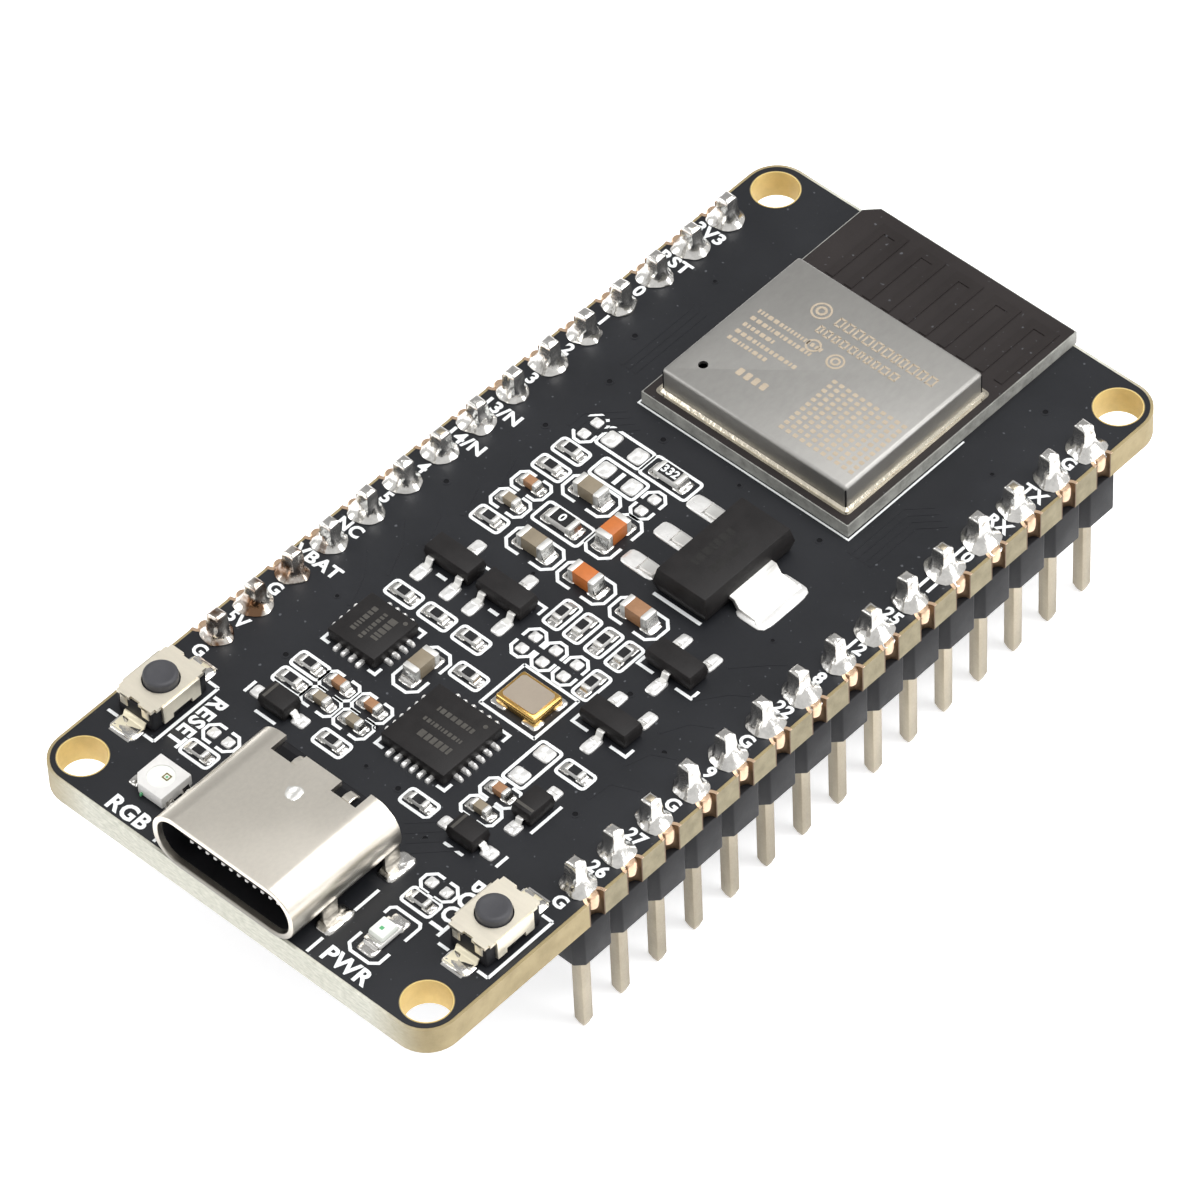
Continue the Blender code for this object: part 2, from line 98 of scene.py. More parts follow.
# Small parts: the middle of each, across the board and along it, then its code, its turn or its finish
SMALL_RESISTORS_ACROSS = (
    (-6.8, 4.75), (-6.8, 3.35), (-6.8, -0.95), (-6.6, -7.05), (-4.45, -7.05), (-2.25, -7.05),
    (-0.8, -8.75), (7.0, -9.85), (-6.85, -13.15), (-6.85, -14.4), (-2.8, -15.9), (2.75, -15.85),
    (-7.0, -20.4), (6.85, -20.05),
)
SMALL_RESISTORS_ALONG = ((-0.1, -3.1), (1.2, -3.1), (2.55, -3.1), (3.85, -3.1), (3.9, -5.4))
SMALL_CAPACITORS = (
    (-6.75, 1.9), (-6.75, 0.45), (-4.95, -13.15), (-4.95, -14.4), (-2.85, -13.15), (-2.85, -14.4),
    (5.15, -12.95), (5.2, -14.3),
)
EMPTY_SMALL_ALONG = ((-7.1, 6.45), (-1.7, 4.6), (-0.1, -5.4), (1.2, -5.4), (2.55, -5.4))
EMPTY_SMALL_ACROSS = ((-6.9, -19.05), (6.9, -18.9))
LARGE_RESISTORS = (((-2.05, 6.6), "332"), ((-3.95, 1.1), "0"))
EMPTY_LARGE = (((-5.0, 6.6), 0), ((-3.9, 4.95), 0), ((5.1, -10.75), 90))
LARGE_CAPACITORS = (
    ((-4.15, 3.3), 0, "tan_ceramic"), ((-3.9, -0.9), 0, "tan_ceramic"),
    ((-0.6, -0.9), 0, "orange_ceramic"), ((2.75, -0.9), 0, "brown_ceramic"),
    ((-1.6, 2.1), 90, "orange_ceramic"), ((-2.75, -9.9), 90, "tan_ceramic"),
)
VIAS = (
    (-0.65, -15.85), (1.4, -15.85), (-8.2, -13.4), (-1.9, -13.85), (-10.0, -0.55), (-9.6, 12.3),
    (9.3, 16.8), (-8.5, 9.3), (-8.9, 5.2), (8.4, 2.2), (9.2, -6.2), (8.6, -11.6), (-8.9, -9.2),
    (4.4, -17.2), (-4.2, -17.4), (0.7, 8.4), (5.9, 8.3), (-4.0, 8.2), (-9.1, 17.5), (8.6, 21.5),
    (8.9, -17.0), (-2.9, -2.1), (5.6, -4.6),
)


# ---------------------------------------------------------------- settings

def length(name, millimetres, description):
    """A length property whose default is given in millimetres."""
    return bpy.props.FloatProperty(
        name=name, description=description, default=millimetres * MM, min=0.0, precision=5, unit='LENGTH')


def colour(name, rgb, description):
    return bpy.props.FloatVectorProperty(
        name=name, description=description, default=rgb, size=3, min=0.0, max=1.0, subtype='COLOR')


def angle(name, degrees, description):
    return bpy.props.FloatProperty(
        name=name, description=description, default=math.radians(degrees), subtype='ANGLE', unit='ROTATION')


class BoardSizes(bpy.types.PropertyGroup):
    mask_setback: length("Mask setback", 0.16, "Bare laminate left between the solder mask and the cut edge")
    mask_tall: length("Mask thickness", 0.03, "Thickness of the solder mask")
    ink_line: length("Ink line", 0.17, "Width of the white outlines round the parts")
    label_tall: length("Label height", 0.72, "Height of the capitals beside the pins")
    housing_bevel: length("Header bevel", 0.07, "Rounding of the header strips' edges")
    can_bend: length("Shield bend", 0.2, "Bend radius of the shield can's folded edges")
    socket_lip: length("Socket lip", 0.07, "Rounding of the USB mouth's rim")


class BoardColours(bpy.types.PropertyGroup):
    mask: colour("Solder mask", (0.0105, 0.0112, 0.0135), "Black solder mask")
    laminate: colour("Laminate", (0.37, 0.295, 0.155), "Cut edge of the glass-fibre laminate")
    ink: colour("Ink", (0.86, 0.88, 0.88), "White printed legend")
    solder: colour("Solder", (0.90, 0.89, 0.87), "Fresh solder")
    plating: colour("Edge plating", (0.88, 0.62, 0.42), "Copper-rich plating in the edge notches")
    pin: colour("Pins", (0.49, 0.43, 0.325), "Pale gold flash on the pins")
    shield: colour("Shield can", (0.425, 0.415, 0.395), "Nickel-silver sheet")
    socket: colour("Socket shell", (0.84, 0.79, 0.70), "Nickel-plated socket shell")
    tin: colour("Tinned leads", (0.84, 0.83, 0.80), "Tin-plated leads and pads")
    cover: colour("Button cover", (0.88, 0.82, 0.69), "Tin-plated button cover")
    moulding: colour("Moulded plastic", (0.0085, 0.0085, 0.0100), "Black plastic of the header strips")
    package: colour("Chip package", (0.010, 0.009, 0.009), "Black moulding compound of the chips")
    gold: colour("Gold plate", (0.80, 0.50, 0.16), "Gold plate round the crystal's lid")


class StageSettings(bpy.types.PropertyGroup):
    azimuth: angle("Azimuth", 44.868, "Turn of the camera round the board")
    elevation: angle("Elevation", 48.849, "Height of the camera above the horizon")
    roll: angle("Roll", -2.897, "Tilt of the camera about its own axis")
    distance: length("Distance", 393.356, "From the camera to the point it looks at")
    lens: bpy.props.FloatProperty(
        name="Lens", description="Focal length", default=251.196, min=1.0, unit='CAMERA')
    aim_across: length("Aim across", 0.586, "Point looked at, across the board")
    aim_back: length("Aim towards the socket", 1.235, "Point looked at, from the middle towards the socket")
    floor_colour: colour("Floor", (0.90, 0.90, 0.91), "Pale floor")
    floor_glow: bpy.props.FloatProperty(
        name="Floor glow", description="Light that comes up through the floor", default=0.62, min=0.0)
    key_power: bpy.props.FloatProperty(
        name="Key light", description="Power of the large overhead light", default=2.6, min=0.0, unit='POWER')
    fill: bpy.props.FloatProperty(
        name="Fill", description="Strength of the even light all round", default=0.75, min=0.0)
    shade_share: bpy.props.FloatProperty(
        name="Shade share", description="Share of the fill left where the dark card hangs", default=0.55,
        min=0.0, max=1.0, subtype='FACTOR')


# ---------------------------------------------------------------- finishes

def new_group(name, inputs, outputs):
    """An empty shader group with named inputs (name, kind, default) and outputs (name, kind)."""
    group = bpy.data.node_groups.new(name, 'ShaderNodeTree')
    for label, kind, default in inputs:
        group.interface.new_socket(label, in_out='INPUT', socket_type=kind).default_value = default
    for label, kind in outputs:
        group.interface.new_socket(label, in_out='OUTPUT', socket_type=kind)
    return group, group.nodes.new('NodeGroupInput'), group.nodes.new('NodeGroupOutput')


def link(tree, *pairs):
    for start, end in pairs:
        tree.links.new(start, end)


def feed(tree, socket, item):
    """Give a socket a plain value, or link it to the output that the item is."""
    if isinstance(item, (int, float, tuple)):
        socket.default_value = item
    else:
        tree.links.new(item, socket)


def noise_node(tree, vector, scale, detail=3.0):
    node = tree.nodes.new('ShaderNodeTexNoise')
    node.inputs["Detail"].default_value = detail
    node.inputs["Roughness"].default_value = 0.55
    feed(tree, node.inputs["Scale"], scale)
    feed(tree, node.inputs["Vector"], vector)
    return node


def math_node(tree, operation, first, second):
    node = tree.nodes.new('ShaderNodeMath')
    node.operation = operation
    for socket, item in zip(node.inputs, (first, second)):
        feed(tree, socket, item)
    return node.outputs["Value"]


def range_node(tree, value, low, high, to_low, to_high):
    node = tree.nodes.new('ShaderNodeMapRange')
    labels = ("Value", "From Min", "From Max", "To Min", "To Max")
    for label, item in zip(labels, (value, low, high, to_low, to_high)):
        feed(tree, node.inputs[label], item)
    return node.outputs["Result"]


def mix_node(tree, factor, first, second):
    node = tree.nodes.new('ShaderNodeMix')
    node.data_type = 'RGBA'
    for label, item in (("Factor", factor), ("A", first), ("B", second)):
        kind = 'VALUE' if label == "Factor" else 'RGBA'
        feed(tree, next(s for s in node.inputs if s.name == label and s.type == kind), item)
    return next(s for s in node.outputs if s.type == 'RGBA')


def surface_group():
    """Cloudy change of colour and roughness with a fine grain on top, shared by every finish."""
    if "surface_change" in bpy.data.node_groups:
        return bpy.data.node_groups["surface_change"]
    group, source, result = new_group(
        "surface_change",
        (("Vector", 'NodeSocketVector', (0, 0, 0)),
         ("Main Colour", 'NodeSocketColor', (0.5, 0.5, 0.5, 1)),
         ("Other Colour", 'NodeSocketColor', (0.4, 0.4, 0.4, 1)),
         ("Cloud Scale", 'NodeSocketFloat', 300.0), ("Grain Scale", 'NodeSocketFloat', 6000.0),
         ("Roughness Low", 'NodeSocketFloat', 0.3), ("Roughness High", 'NodeSocketFloat', 0.5)),
        (("Colour", 'NodeSocketColor'), ("Roughness", 'NodeSocketFloat'), ("Height", 'NodeSocketFloat')))
    vector = source.outputs["Vector"]
    cloud = noise_node(group, vector, source.outputs["Cloud Scale"], 4.0)
    grain = noise_node(group, vector, source.outputs["Grain Scale"], 2.0)
    mask = range_node(group, cloud.outputs["Fac"], 0.35, 0.65, 0.0, 1.0)
    blend = math_node(group, 'MULTIPLY', grain.outputs["Fac"], 0.4)
    blend = math_node(group, 'ADD', blend, math_node(group, 'MULTIPLY', mask, 0.6))
    colour_out = mix_node(group, blend, source.outputs["Main Colour"], source.outputs["Other Colour"])
    rough = range_node(
        group, blend, 0.0, 1.0, source.outputs["Roughness Low"], source.outputs["Roughness High"])
    link(group, (colour_out, result.inputs["Colour"]), (rough, result.inputs["Roughness"]),
         (grain.outputs["Fac"], result.inputs["Height"]))
    return group


def start_material(name):
    """A new material's tree, its shader and its object coordinates."""
    mat = bpy.data.materials.new(name)
    mat.use_nodes = True
    tree = mat.node_tree
    shader = tree.nodes["Principled BSDF"]
    place = tree.nodes.new('ShaderNodeTexCoord').outputs["Object"]
    return mat, tree, shader, place


def place_group(tree, group, values):
    node = tree.nodes.new('ShaderNodeGroup')
    node.node_tree = group
    for label, item in values.items():
        feed(tree, node.inputs[label], item)
    return node


def bump_node(tree, height, strength, distance, under=None):
    node = tree.nodes.new('ShaderNodeBump')
    node.inputs["Strength"].default_value = strength
    node.inputs["Distance"].default_value = distance
    tree.links.new(height, node.inputs["Height"])
    if under is not None:
        tree.links.new(under, node.inputs["Normal"])
    return node.outputs["Normal"]


def finish_surface(tree, shader, colour_out, change, normal):
    """Link the colour, the changing roughness and the bump to the shader."""
    link(tree, (colour_out, shader.inputs["Base Color"]),
         (change.outputs["Roughness"], shader.inputs["Roughness"]), (normal, shader.inputs["Normal"]))


def shade(rgb, factor):
    return tuple(min(1.0, c * factor) for c in rgb) + (1.0,)


def stretched(tree, place, scale):
    node = tree.nodes.new('ShaderNodeMapping')
    node.inputs["Scale"].default_value = scale
    tree.links.new(place, node.inputs["Vector"])
    return node.outputs["Vector"]


# Colour or the name of its setting, factor of the cloudy colour, roughness range, metallic, scale of the
# clouds, scale of the grain, strength of the grain's bump
PLAIN_FINISHES = {
    "ink": ("ink", 0.90, (0.45, 0.60), 0.0, 1500, 9000, 0.20),
    "plating": ("plating", 0.70, (0.22, 0.40), 0.9, 1800, 7000, 0.20),
    "pin_metal": ("pin", 0.60, (0.28, 0.50), 1.0, 130, 9000, 0.3),
    "tin": ("tin", 0.88, (0.42, 0.60), 1.0, 1600, 6000, 0.22),
    "moulding": ("moulding", 1.25, (0.42, 0.58), 0.0, 700, 12000, 0.16),
    "package": ("package", 1.7, (0.42, 0.60), 0.0, 1200, 14000, 0.30),
    "gold_plate": ("gold", 0.85, (0.16, 0.30), 1.0, 1500, 8000, 0.15),
    "tan_ceramic": ((0.26, 0.215, 0.15), 0.80, (0.38, 0.52), 0.0, 1800, 9000, 0.18),
    "brown_ceramic": ((0.36, 0.185, 0.09), 0.70, (0.38, 0.52), 0.0, 1800, 9000, 0.18),
    # dark brown copy of the plating: painted shade on the notches' inner walls
    "dull_plating": ((0.16, 0.10, 0.055), 0.6, (0.35, 0.5), 0.7, 1800, 9000, 0.2),
    # darker, greyer copy of the laminate: painted shade on the long edges between the notches
    "laminate_olive": ((0.29, 0.25, 0.155), 0.66, (0.50, 0.70), 0.0, 1400, 9000, 0.3),
    "pad_tin": ((0.95, 0.94, 0.92), 0.78, (0.24, 0.46), 0.55, 2600, 6000, 0.3),
    "hole_resin": ((0.74, 0.55, 0.20), 0.78, (0.5, 0.65), 0.0, 900, 9000, 0.2),
    "orange_ceramic": ((0.55, 0.16, 0.035), 0.80, (0.36, 0.50), 0.0, 1800, 9000, 0.18),
    "white_ceramic": ((0.72, 0.71, 0.69), 0.88, (0.40, 0.55), 0.0, 1800, 9000, 0.15),
    "resistor_glaze": ((0.010, 0.010, 0.011), 1.6, (0.25, 0.40), 0.0, 1800, 9000, 0.10),
    "plunger_plastic": ((0.045, 0.045, 0.050), 1.3, (0.38, 0.55), 0.0, 900, 9000, 0.22),
    "terminal_tin": ((0.93, 0.86, 0.66), 0.9, (0.38, 0.5), 0.9, 900, 8000, 0.12),
    "spring_sheet": ((0.66, 0.66, 0.66), 0.85, (0.18, 0.30), 1.0, 900, 8000, 0.12),
    "lens_resin": ((0.82, 0.85, 0.79), 0.92, (0.12, 0.25), 0.0, 1500, 8000, 0.10),
    "die_amber": ((0.30, 0.24, 0.10), 0.7, (0.20, 0.35), 0.3, 3000, 9000, 0.10),
    "die_green": ((0.12, 0.45, 0.20), 0.8, (0.20, 0.35), 0.0, 3000, 9000, 0.10),
    "crystal_top": ((0.55, 0.47, 0.38), 0.88, (0.34, 0.46), 0.9, 1100, 12000, 0.14),
    "etched_mark": ((0.50, 0.42, 0.32), 0.85, (0.55, 0.70), 0.35, 2500, 9000, 0.20),
    "chip_mark": ((0.085, 0.08, 0.072), 0.75, (0.60, 0.75), 0.0, 2500, 9000, 0.20),
    "faint_mark": ((0.022, 0.021, 0.020), 0.75, (0.60, 0.75), 0.0, 2500, 9000, 0.20),
    "frosted_edge": ((0.42, 0.42, 0.39), 0.45, (0.50, 0.70), 0.0, 1400, 9000, 0.25),
    # near-black: painted shade put into holes, slots and the socket's mouth
    "hollow_dark": ((0.006, 0.006, 0.007), 1.5, (0.50, 0.70), 0.0, 900, 9000, 0.10),
}

# How much the dull resins reflect, where it is less than usual
DULL_FINISHES = {
    "moulding": 0.2, "package": 0.25, "resistor_glaze": 0.4, "plunger_plastic": 0.35, "laminate_olive": 0.3,
    "frosted_edge": 0.3, "chip_mark": 0.2, "faint_mark": 0.2, "hollow_dark": 0.1,
}


def plain_material(name, rgb, other, rough, metallic, cloud, grain, bump):
    """Principled finish with cloudy colour, changing roughness and fine grain."""
    mat, tree, shader, place = start_material(name)
    change = place_group(tree, surface_group(), {
        "Vector": place, "Main Colour": shade(rgb, 1.0), "Other Colour": shade(rgb, other),
        "Cloud Scale": float(cloud), "Grain Scale": float(grain),
        "Roughness Low": rough[0], "Roughness High": rough[1]})
    normal = bump_node(tree, change.outputs["Height"], bump, 0.00002)
    finish_surface(tree, shader, change.outputs["Colour"], change, normal)
    shader.inputs["Metallic"].default_value = metallic
    shader.inputs["Specular IOR Level"].default_value = DULL_FINISHES.get(name, 0.5)
    return mat


def laminate_material(name, rgb):
    """Cut glass laminate: tan with grey fibres, paler and greyer on the two short edges."""
    mat, tree, shader, place = start_material(name)
    change = place_group(tree, surface_group(), {
        "Vector": place, "Main Colour": shade(rgb, 1.0), "Other Colour": shade(rgb, 0.72),
        "Cloud Scale": 900.0, "Grain Scale": 9000.0, "Roughness Low": 0.50, "Roughness High": 0.70})
    parts = tree.nodes.new('ShaderNodeSeparateXYZ')
    link(tree, (place, parts.inputs["Vector"]))
    fibres = noise_node(tree, stretched(tree, place, (1.0, 1.0, 3.0)), 2600.0)
    pale = mix_node(tree, range_node(tree, fibres.outputs["Fac"], 0.35, 0.65, 0.0, 1.0),
                    (0.62, 0.61, 0.53, 1.0), (0.47, 0.47, 0.40, 1.0))
    along = math_node(tree, 'ABSOLUTE', parts.outputs["Y"], 0.0)
    across = math_node(tree, 'ABSOLUTE', parts.outputs["X"], 0.0)
    near = math_node(tree, 'MULTIPLY', range_node(tree, along, *PALE_ALONG, 0.0, 1.0),
                     range_node(tree, across, *PALE_ACROSS, 0.0, 1.0))
    out = mix_node(tree, near, change.outputs["Colour"], pale)
    finish_surface(tree, shader, out, change, bump_node(tree, change.outputs["Height"], 0.25, 0.00002))
    shader.inputs["Specular IOR Level"].default_value = 0.3
    return mat


def mask_material(name, rgb):
    """Black solder mask: satin resin with a slight orange peel and faint pale dust."""
    mat, tree, shader, place = start_material(name)
    change = place_group(tree, surface_group(), {
        "Vector": place, "Main Colour": shade(rgb, 1.0), "Other Colour": shade(rgb, 1.45),
        "Cloud Scale": 160.0, "Grain Scale": 5200.0, "Roughness Low": 0.34, "Roughness High": 0.46})
    specks = noise_node(tree, place, 4200.0, 0.0)
    dust = range_node(tree, specks.outputs["Fac"], 0.80, 0.86, 0.0, 0.35)
    out = mix_node(tree, dust, change.outputs["Colour"], (0.20, 0.21, 0.23, 1.0))
    peel = noise_node(tree, place, 1500.0, 2.0)
    fine = bump_node(tree, change.outputs["Height"], 0.12, 0.00001)
    finish_surface(tree, shader, out, change, bump_node(tree, peel.outputs["Fac"], 0.10, 0.00004, fine))
    shader.inputs["Specular IOR Level"].default_value = 0.32
    return mat


def solder_material(name, rgb, brown_share, tint):
    """Bright solder with dull frosted patches and a trace of brown flux."""
    mat, tree, shader, place = start_material(name)
    metal = [part * factor for part, factor in zip(rgb, tint)]
    change = place_group(tree, surface_group(), {
        "Vector": place, "Main Colour": shade(metal, 1.0), "Other Colour": shade(metal, 0.62),
        "Cloud Scale": 1500.0, "Grain Scale": 5000.0, "Roughness Low": 0.07, "Roughness High": 0.30})
    residue = noise_node(tree, place, 700.0)
    thin, thick = 0.70 - brown_share * 0.4, 0.78 - brown_share * 0.3
    brown = range_node(tree, residue.outputs["Fac"], thin, thick, 0.0, 0.35 + brown_share)
    out = mix_node(tree, brown, change.outputs["Colour"], (0.20, 0.11, 0.06, 1.0))
    ripples = noise_node(tree, place, 2100.0, 2.0)
    fine = bump_node(tree, change.outputs["Height"], 0.10, 0.00001)
    finish_surface(tree, shader, out, change, bump_node(tree, ripples.outputs["Fac"], 0.28, 0.0001, fine))
    shader.inputs["Metallic"].default_value = 1.0
    return mat


def rolled_metal(name, rgb, rough, along, lines, bump, darker, foot=1.0):
    """Sheet metal with fine rolling lines that run along one direction, darkened toward its foot by painted
    shade.
    """
    mat, tree, shader, place = start_material(name)
    change = place_group(tree, surface_group(), {
        "Vector": place, "Main Colour": shade(rgb, 1.0), "Other Colour": shade(rgb, darker),
        "Cloud Scale": 210.0, "Grain Scale": 7000.0, "Roughness Low": rough[0], "Roughness High": rough[1]})
    streaks = noise_node(tree, stretched(tree, place, along), lines)
    tone = range_node(tree, streaks.outputs["Fac"], 0.3, 0.7, 0.0, 0.5)
    out = mix_node(tree, tone, change.outputs["Colour"], shade(rgb, darker * 0.92))
    if foot < 1.0:
        parts = tree.nodes.new('ShaderNodeSeparateXYZ')
        link(tree, (place, parts.inputs["Vector"]))
        # Painted shade: the colour falls to the foot factor between these heights, darkest next to the board
        bright, dull = (TOP * MM + height for height in FOOT_SHADE_HEIGHTS)
        near = range_node(tree, parts.outputs["Z"], bright, dull, 0.0, 1.0)
        out = mix_node(tree, near, out, shade(rgb, foot))
    fine = bump_node(tree, change.outputs["Height"], 0.06, 0.00001)
    finish_surface(tree, shader, out, change, bump_node(tree, streaks.outputs["Fac"], bump, 0.00002, fine))
    shader.inputs["Metallic"].default_value = 1.0
    return mat


def floor_material(name):
    """Pale matt sheet with a very faint mottle."""
    mat, tree, shader, place = start_material(name)
    rgb = bpy.context.scene.board_stage.floor_colour
    change = place_group(tree, surface_group(), {
        "Vector": place, "Main Colour": shade(rgb, 1.0), "Other Colour": shade(rgb, 0.985),
        "Cloud Scale": 30.0, "Grain Scale": 900.0, "Roughness Low": 0.45, "Roughness High": 0.55})
    link(tree, (change.outputs["Colour"], shader.inputs["Base Color"]),
         (change.outputs["Roughness"], shader.inputs["Roughness"]))
    shader.inputs["Emission Color"].default_value = (1.0, 1.0, 1.0, 1.0)
    shader.inputs["Emission Strength"].default_value = bpy.context.scene.board_stage.floor_glow
    return mat


# The maker of each finish that has more to it, then its colour or the name of its setting and its values
SPECIAL_FINISHES = {
    "laminate": (laminate_material, "laminate"),
    "solder_mask": (mask_material, "mask"),
    "aerial_mask": (mask_material, (0.0165, 0.0130, 0.0125)),
    "aerial_bars": (mask_material, (0.0140, 0.0108, 0.0102)),
    "solder": (solder_material, "solder", 0.0, (1.0, 0.99, 0.97)),
    "flux_solder": (solder_material, "solder", 0.64, (1.0, 0.96, 0.91)),
    "warm_solder": (solder_material, "solder", 0.1, (1.0, 0.93, 0.78)),
    "shield_sheet": (rolled_metal, "shield", (0.42, 0.52), (1.0, 0.5, 1.0), 3600.0, 0.05, 0.9),
    # The socket's walls carry painted shade, down to 0.24 of their colour at the foot
    "socket_sheet": (rolled_metal, "socket", (0.27, 0.37), (1.0, 0.7, 1.0), 5200.0, 0.05, 0.93, 0.24),
    "cover_sheet": (rolled_metal, "cover", (0.38, 0.52), (0.15, 1.0, 1.0), 4200.0, 0.08, 0.9),
    "floor_sheet": (floor_material,),
}


def finish(name):
    """The named material, made the first time it is asked for."""
    if name in bpy.data.materials:
        return bpy.data.materials[name]
    if name in PLAIN_FINISHES:
        maker, values = plain_material, PLAIN_FINISHES[name]
    else:
        maker, *values = SPECIAL_FINISHES[name]
    colours = bpy.context.scene.board_colours
    return maker(name, *(tuple(getattr(colours, v)) if isinstance(v, str) else v for v in values))


# ---------------------------------------------------------------- modelling tools

def grow(bm, faces, move):
    """Extrude faces by a vector and return the moved vertices."""
    made = bmesh.ops.extrude_face_region(bm, geom=faces)["geom"]
    verts = [item for item in made if isinstance(item, bmesh.types.BMVert)]
    bmesh.ops.translate(bm, vec=Vector(move), verts=verts)
    return verts


def soften(bm, radius, segments=2, where=None):
    """Round the sharp edges of a part, or only those that where() picks."""
    bmesh.ops.recalc_face_normals(bm, faces=bm.faces[:])
    sharp = [e for e in bm.edges if len(e.link_faces) == 2 and e.calc_face_angle(0.0) > 0.5]
    if where is not None:
        sharp = [e for e in sharp if where((e.verts[0].co + e.verts[1].co) / 2, e)]
    if radius > 0 and sharp:
        bmesh.ops.bevel(bm, geom=sharp, offset=radius, offset_type='OFFSET', segments=segments,
                        profile=0.5, affect='EDGES', material=-1, clamp_overlap=True)


def block(low, high, radius=0.0, segments=2, where=None):
    """A box between two corners, with its edges rounded."""
    bm = bmesh.new()
    low, high = Vector(low), Vector(high)
    verts = bmesh.ops.create_cube(bm, size=1.0)["verts"]
    bmesh.ops.scale(bm, vec=high - low, verts=verts)
    bmesh.ops.translate(bm, vec=(low + high) / 2, verts=verts)
    soften(bm, radius, segments, where)
    return bm


def diamond_post(x, y, half):
    """A tall square post turned by an eighth, to cut a corner off."""
    bm = block((-half, -half, -2), (half, half, 3))
    bmesh.ops.rotate(bm, cent=(0, 0, 0), matrix=Matrix.Rotation(math.radians(45), 3, 'Z'), verts=bm.verts[:])
    bmesh.ops.translate(bm, vec=(x, y, 0), verts=bm.verts[:])
    return bm


def flat_outline(wide, deep, corner=0.0, steps=1):
    """One flat face round the origin, with round corners."""
    bm = bmesh.new()
    verts = bmesh.ops.create_grid(bm, x_segments=1, y_segments=1, size=0.5)["verts"]
    bmesh.ops.scale(bm, vec=(wide, deep, 1), verts=verts)
    if corner > 0:
        bmesh.ops.bevel(bm, geom=bm.verts[:], offset=corner, offset_type='OFFSET', segments=steps,
                        profile=0.5, affect='VERTICES', material=-1, clamp_overlap=True)
    return bm


def keep_rim(bm, line):
    """Leave only a rim of even width of a flat face."""
    bm.normal_update()
    inner = bm.faces[:]
    bmesh.ops.inset_region(bm, faces=inner, thickness=line, use_boundary=True, use_even_offset=True)
    bmesh.ops.delete(bm, geom=inner, context='FACES_ONLY')


def tapered(size, low, high, draft, radius, middle):
    """A moulded body: widest at its parting line, its walls drawn in above and below."""
    wide, deep = size
    parting = low + (high - low) * middle
    bm = flat_outline(wide - draft, deep - draft)
    bmesh.ops.translate(bm, vec=(0, 0, low), verts=bm.verts[:])
    face = bm.faces[:]
    waist = grow(bm, face, (0, 0, parting - low))
    bmesh.ops.scale(bm, vec=(wide / (wide - draft), deep / (deep - draft), 1), verts=waist)
    crown_face = [f for f in bm.faces if all(v in waist for v in f.verts)]
    crown = grow(bm, crown_face, (0, 0, high - parting))
    bmesh.ops.scale(bm, vec=((wide - draft) / wide, (deep - draft) / deep, 1), verts=crown)
    bmesh.ops.delete(bm, geom=crown_face, context='FACES_ONLY')
    soften(bm, radius)
    return bm


def ribbon(points, wide, thick):
    """A flat strip of sheet metal bent along points given as (reach, height)."""
    bm = bmesh.new()
    first = points[0]
    edge = bm.edges.new([bm.verts.new((first[0], side * wide / 2, first[1])) for side in (-1, 1)])
    for before, after in zip(points, points[1:]):
        made = bmesh.ops.extrude_edge_only(bm, edges=[edge])["geom"]
        edge = next(item for item in made if isinstance(item, bmesh.types.BMEdge))
        move = (after[0] - before[0], 0, after[1] - before[1])
        bmesh.ops.translate(bm, vec=move, verts=list(edge.verts))
    bmesh.ops.recalc_face_normals(bm, faces=bm.faces[:])
    bmesh.ops.solidify(bm, geom=bm.faces[:], thickness=thick)
    soften(bm, thick * 0.25, 1)
    return bm


def solder_ramp(wide, run, rise):
    """Solder that climbs a terminal: tall against it and hollow down to the pad's end."""
    outline = ((0.0, 0.0), (run, 0.0), (run * 0.62, rise * 0.12), (run * 0.3, rise * 0.38),
               (run * 0.1, rise * 0.75), (0.0, rise))
    bm = bmesh.new()
    verts = [bm.verts.new((reach, -wide / 2, height)) for reach, height in outline]
    bm.faces.new(verts)
    grow(bm, bm.faces[:], (0, wide, 0))
    return bm


def sheet(wide, deep, corner, low, high, steps=5, centre=(0.0, 0.0)):
    """A flat plate with round corners."""
    bm = flat_outline(wide, deep, corner, steps)
    bmesh.ops.translate(bm, vec=(centre[0], centre[1], low), verts=bm.verts[:])
    grow(bm, bm.faces[:], (0, 0, high - low))
    return bm


def frame_line(wide, deep, corner, line, low, high, centre=(0.0, 0.0)):
    """A closed outline of even width, such as a printed box."""
    bm = flat_outline(wide, deep, corner, 3)
    keep_rim(bm, line)
    bmesh.ops.translate(bm, vec=(centre[0], centre[1], low), verts=bm.verts[:])
    grow(bm, bm.faces[:], (0, 0, high - low))
    return bm


def stroke(points, width, low, high):
    """A flat strip of even width along a chain of points, mitred at its corners."""
    bm = bmesh.new()
    path = [Vector(p) for p in points]
    rails = []
    for index, point in enumerate(path):
        before = (point - path[index - 1]).normalized() if index else None
        after = (path[index + 1] - point).normalized() if index + 1 < len(path) else None
        before, after = before or after, after or before
        across = Vector((-(before + after).y, (before + after).x)).normalized()
        across *= width / 2 / max(0.35, across.dot(Vector((-before.y, before.x))))
        rails.append((point - across, point + across))
    ends = [bm.verts.new((p.x, p.y, low)) for p in rails[0]]
    edge = bm.edges.new(ends)
    for places in rails[1:]:
        made = bmesh.ops.extrude_edge_only(bm, edges=[edge])["geom"]
        edge = next(item for item in made if isinstance(item, bmesh.types.BMEdge)
                    and not set(ends) & set(item.verts))
        first = next(v for v in edge.verts if any(e.other_vert(v) == ends[0] for e in v.link_edges))
        ends = [first, edge.other_vert(first)]
        for vert, place in zip(ends, places):
            vert.co = (place.x, place.y, low)
    grow(bm, bm.faces[:], (0, 0, high - low))
    return bm


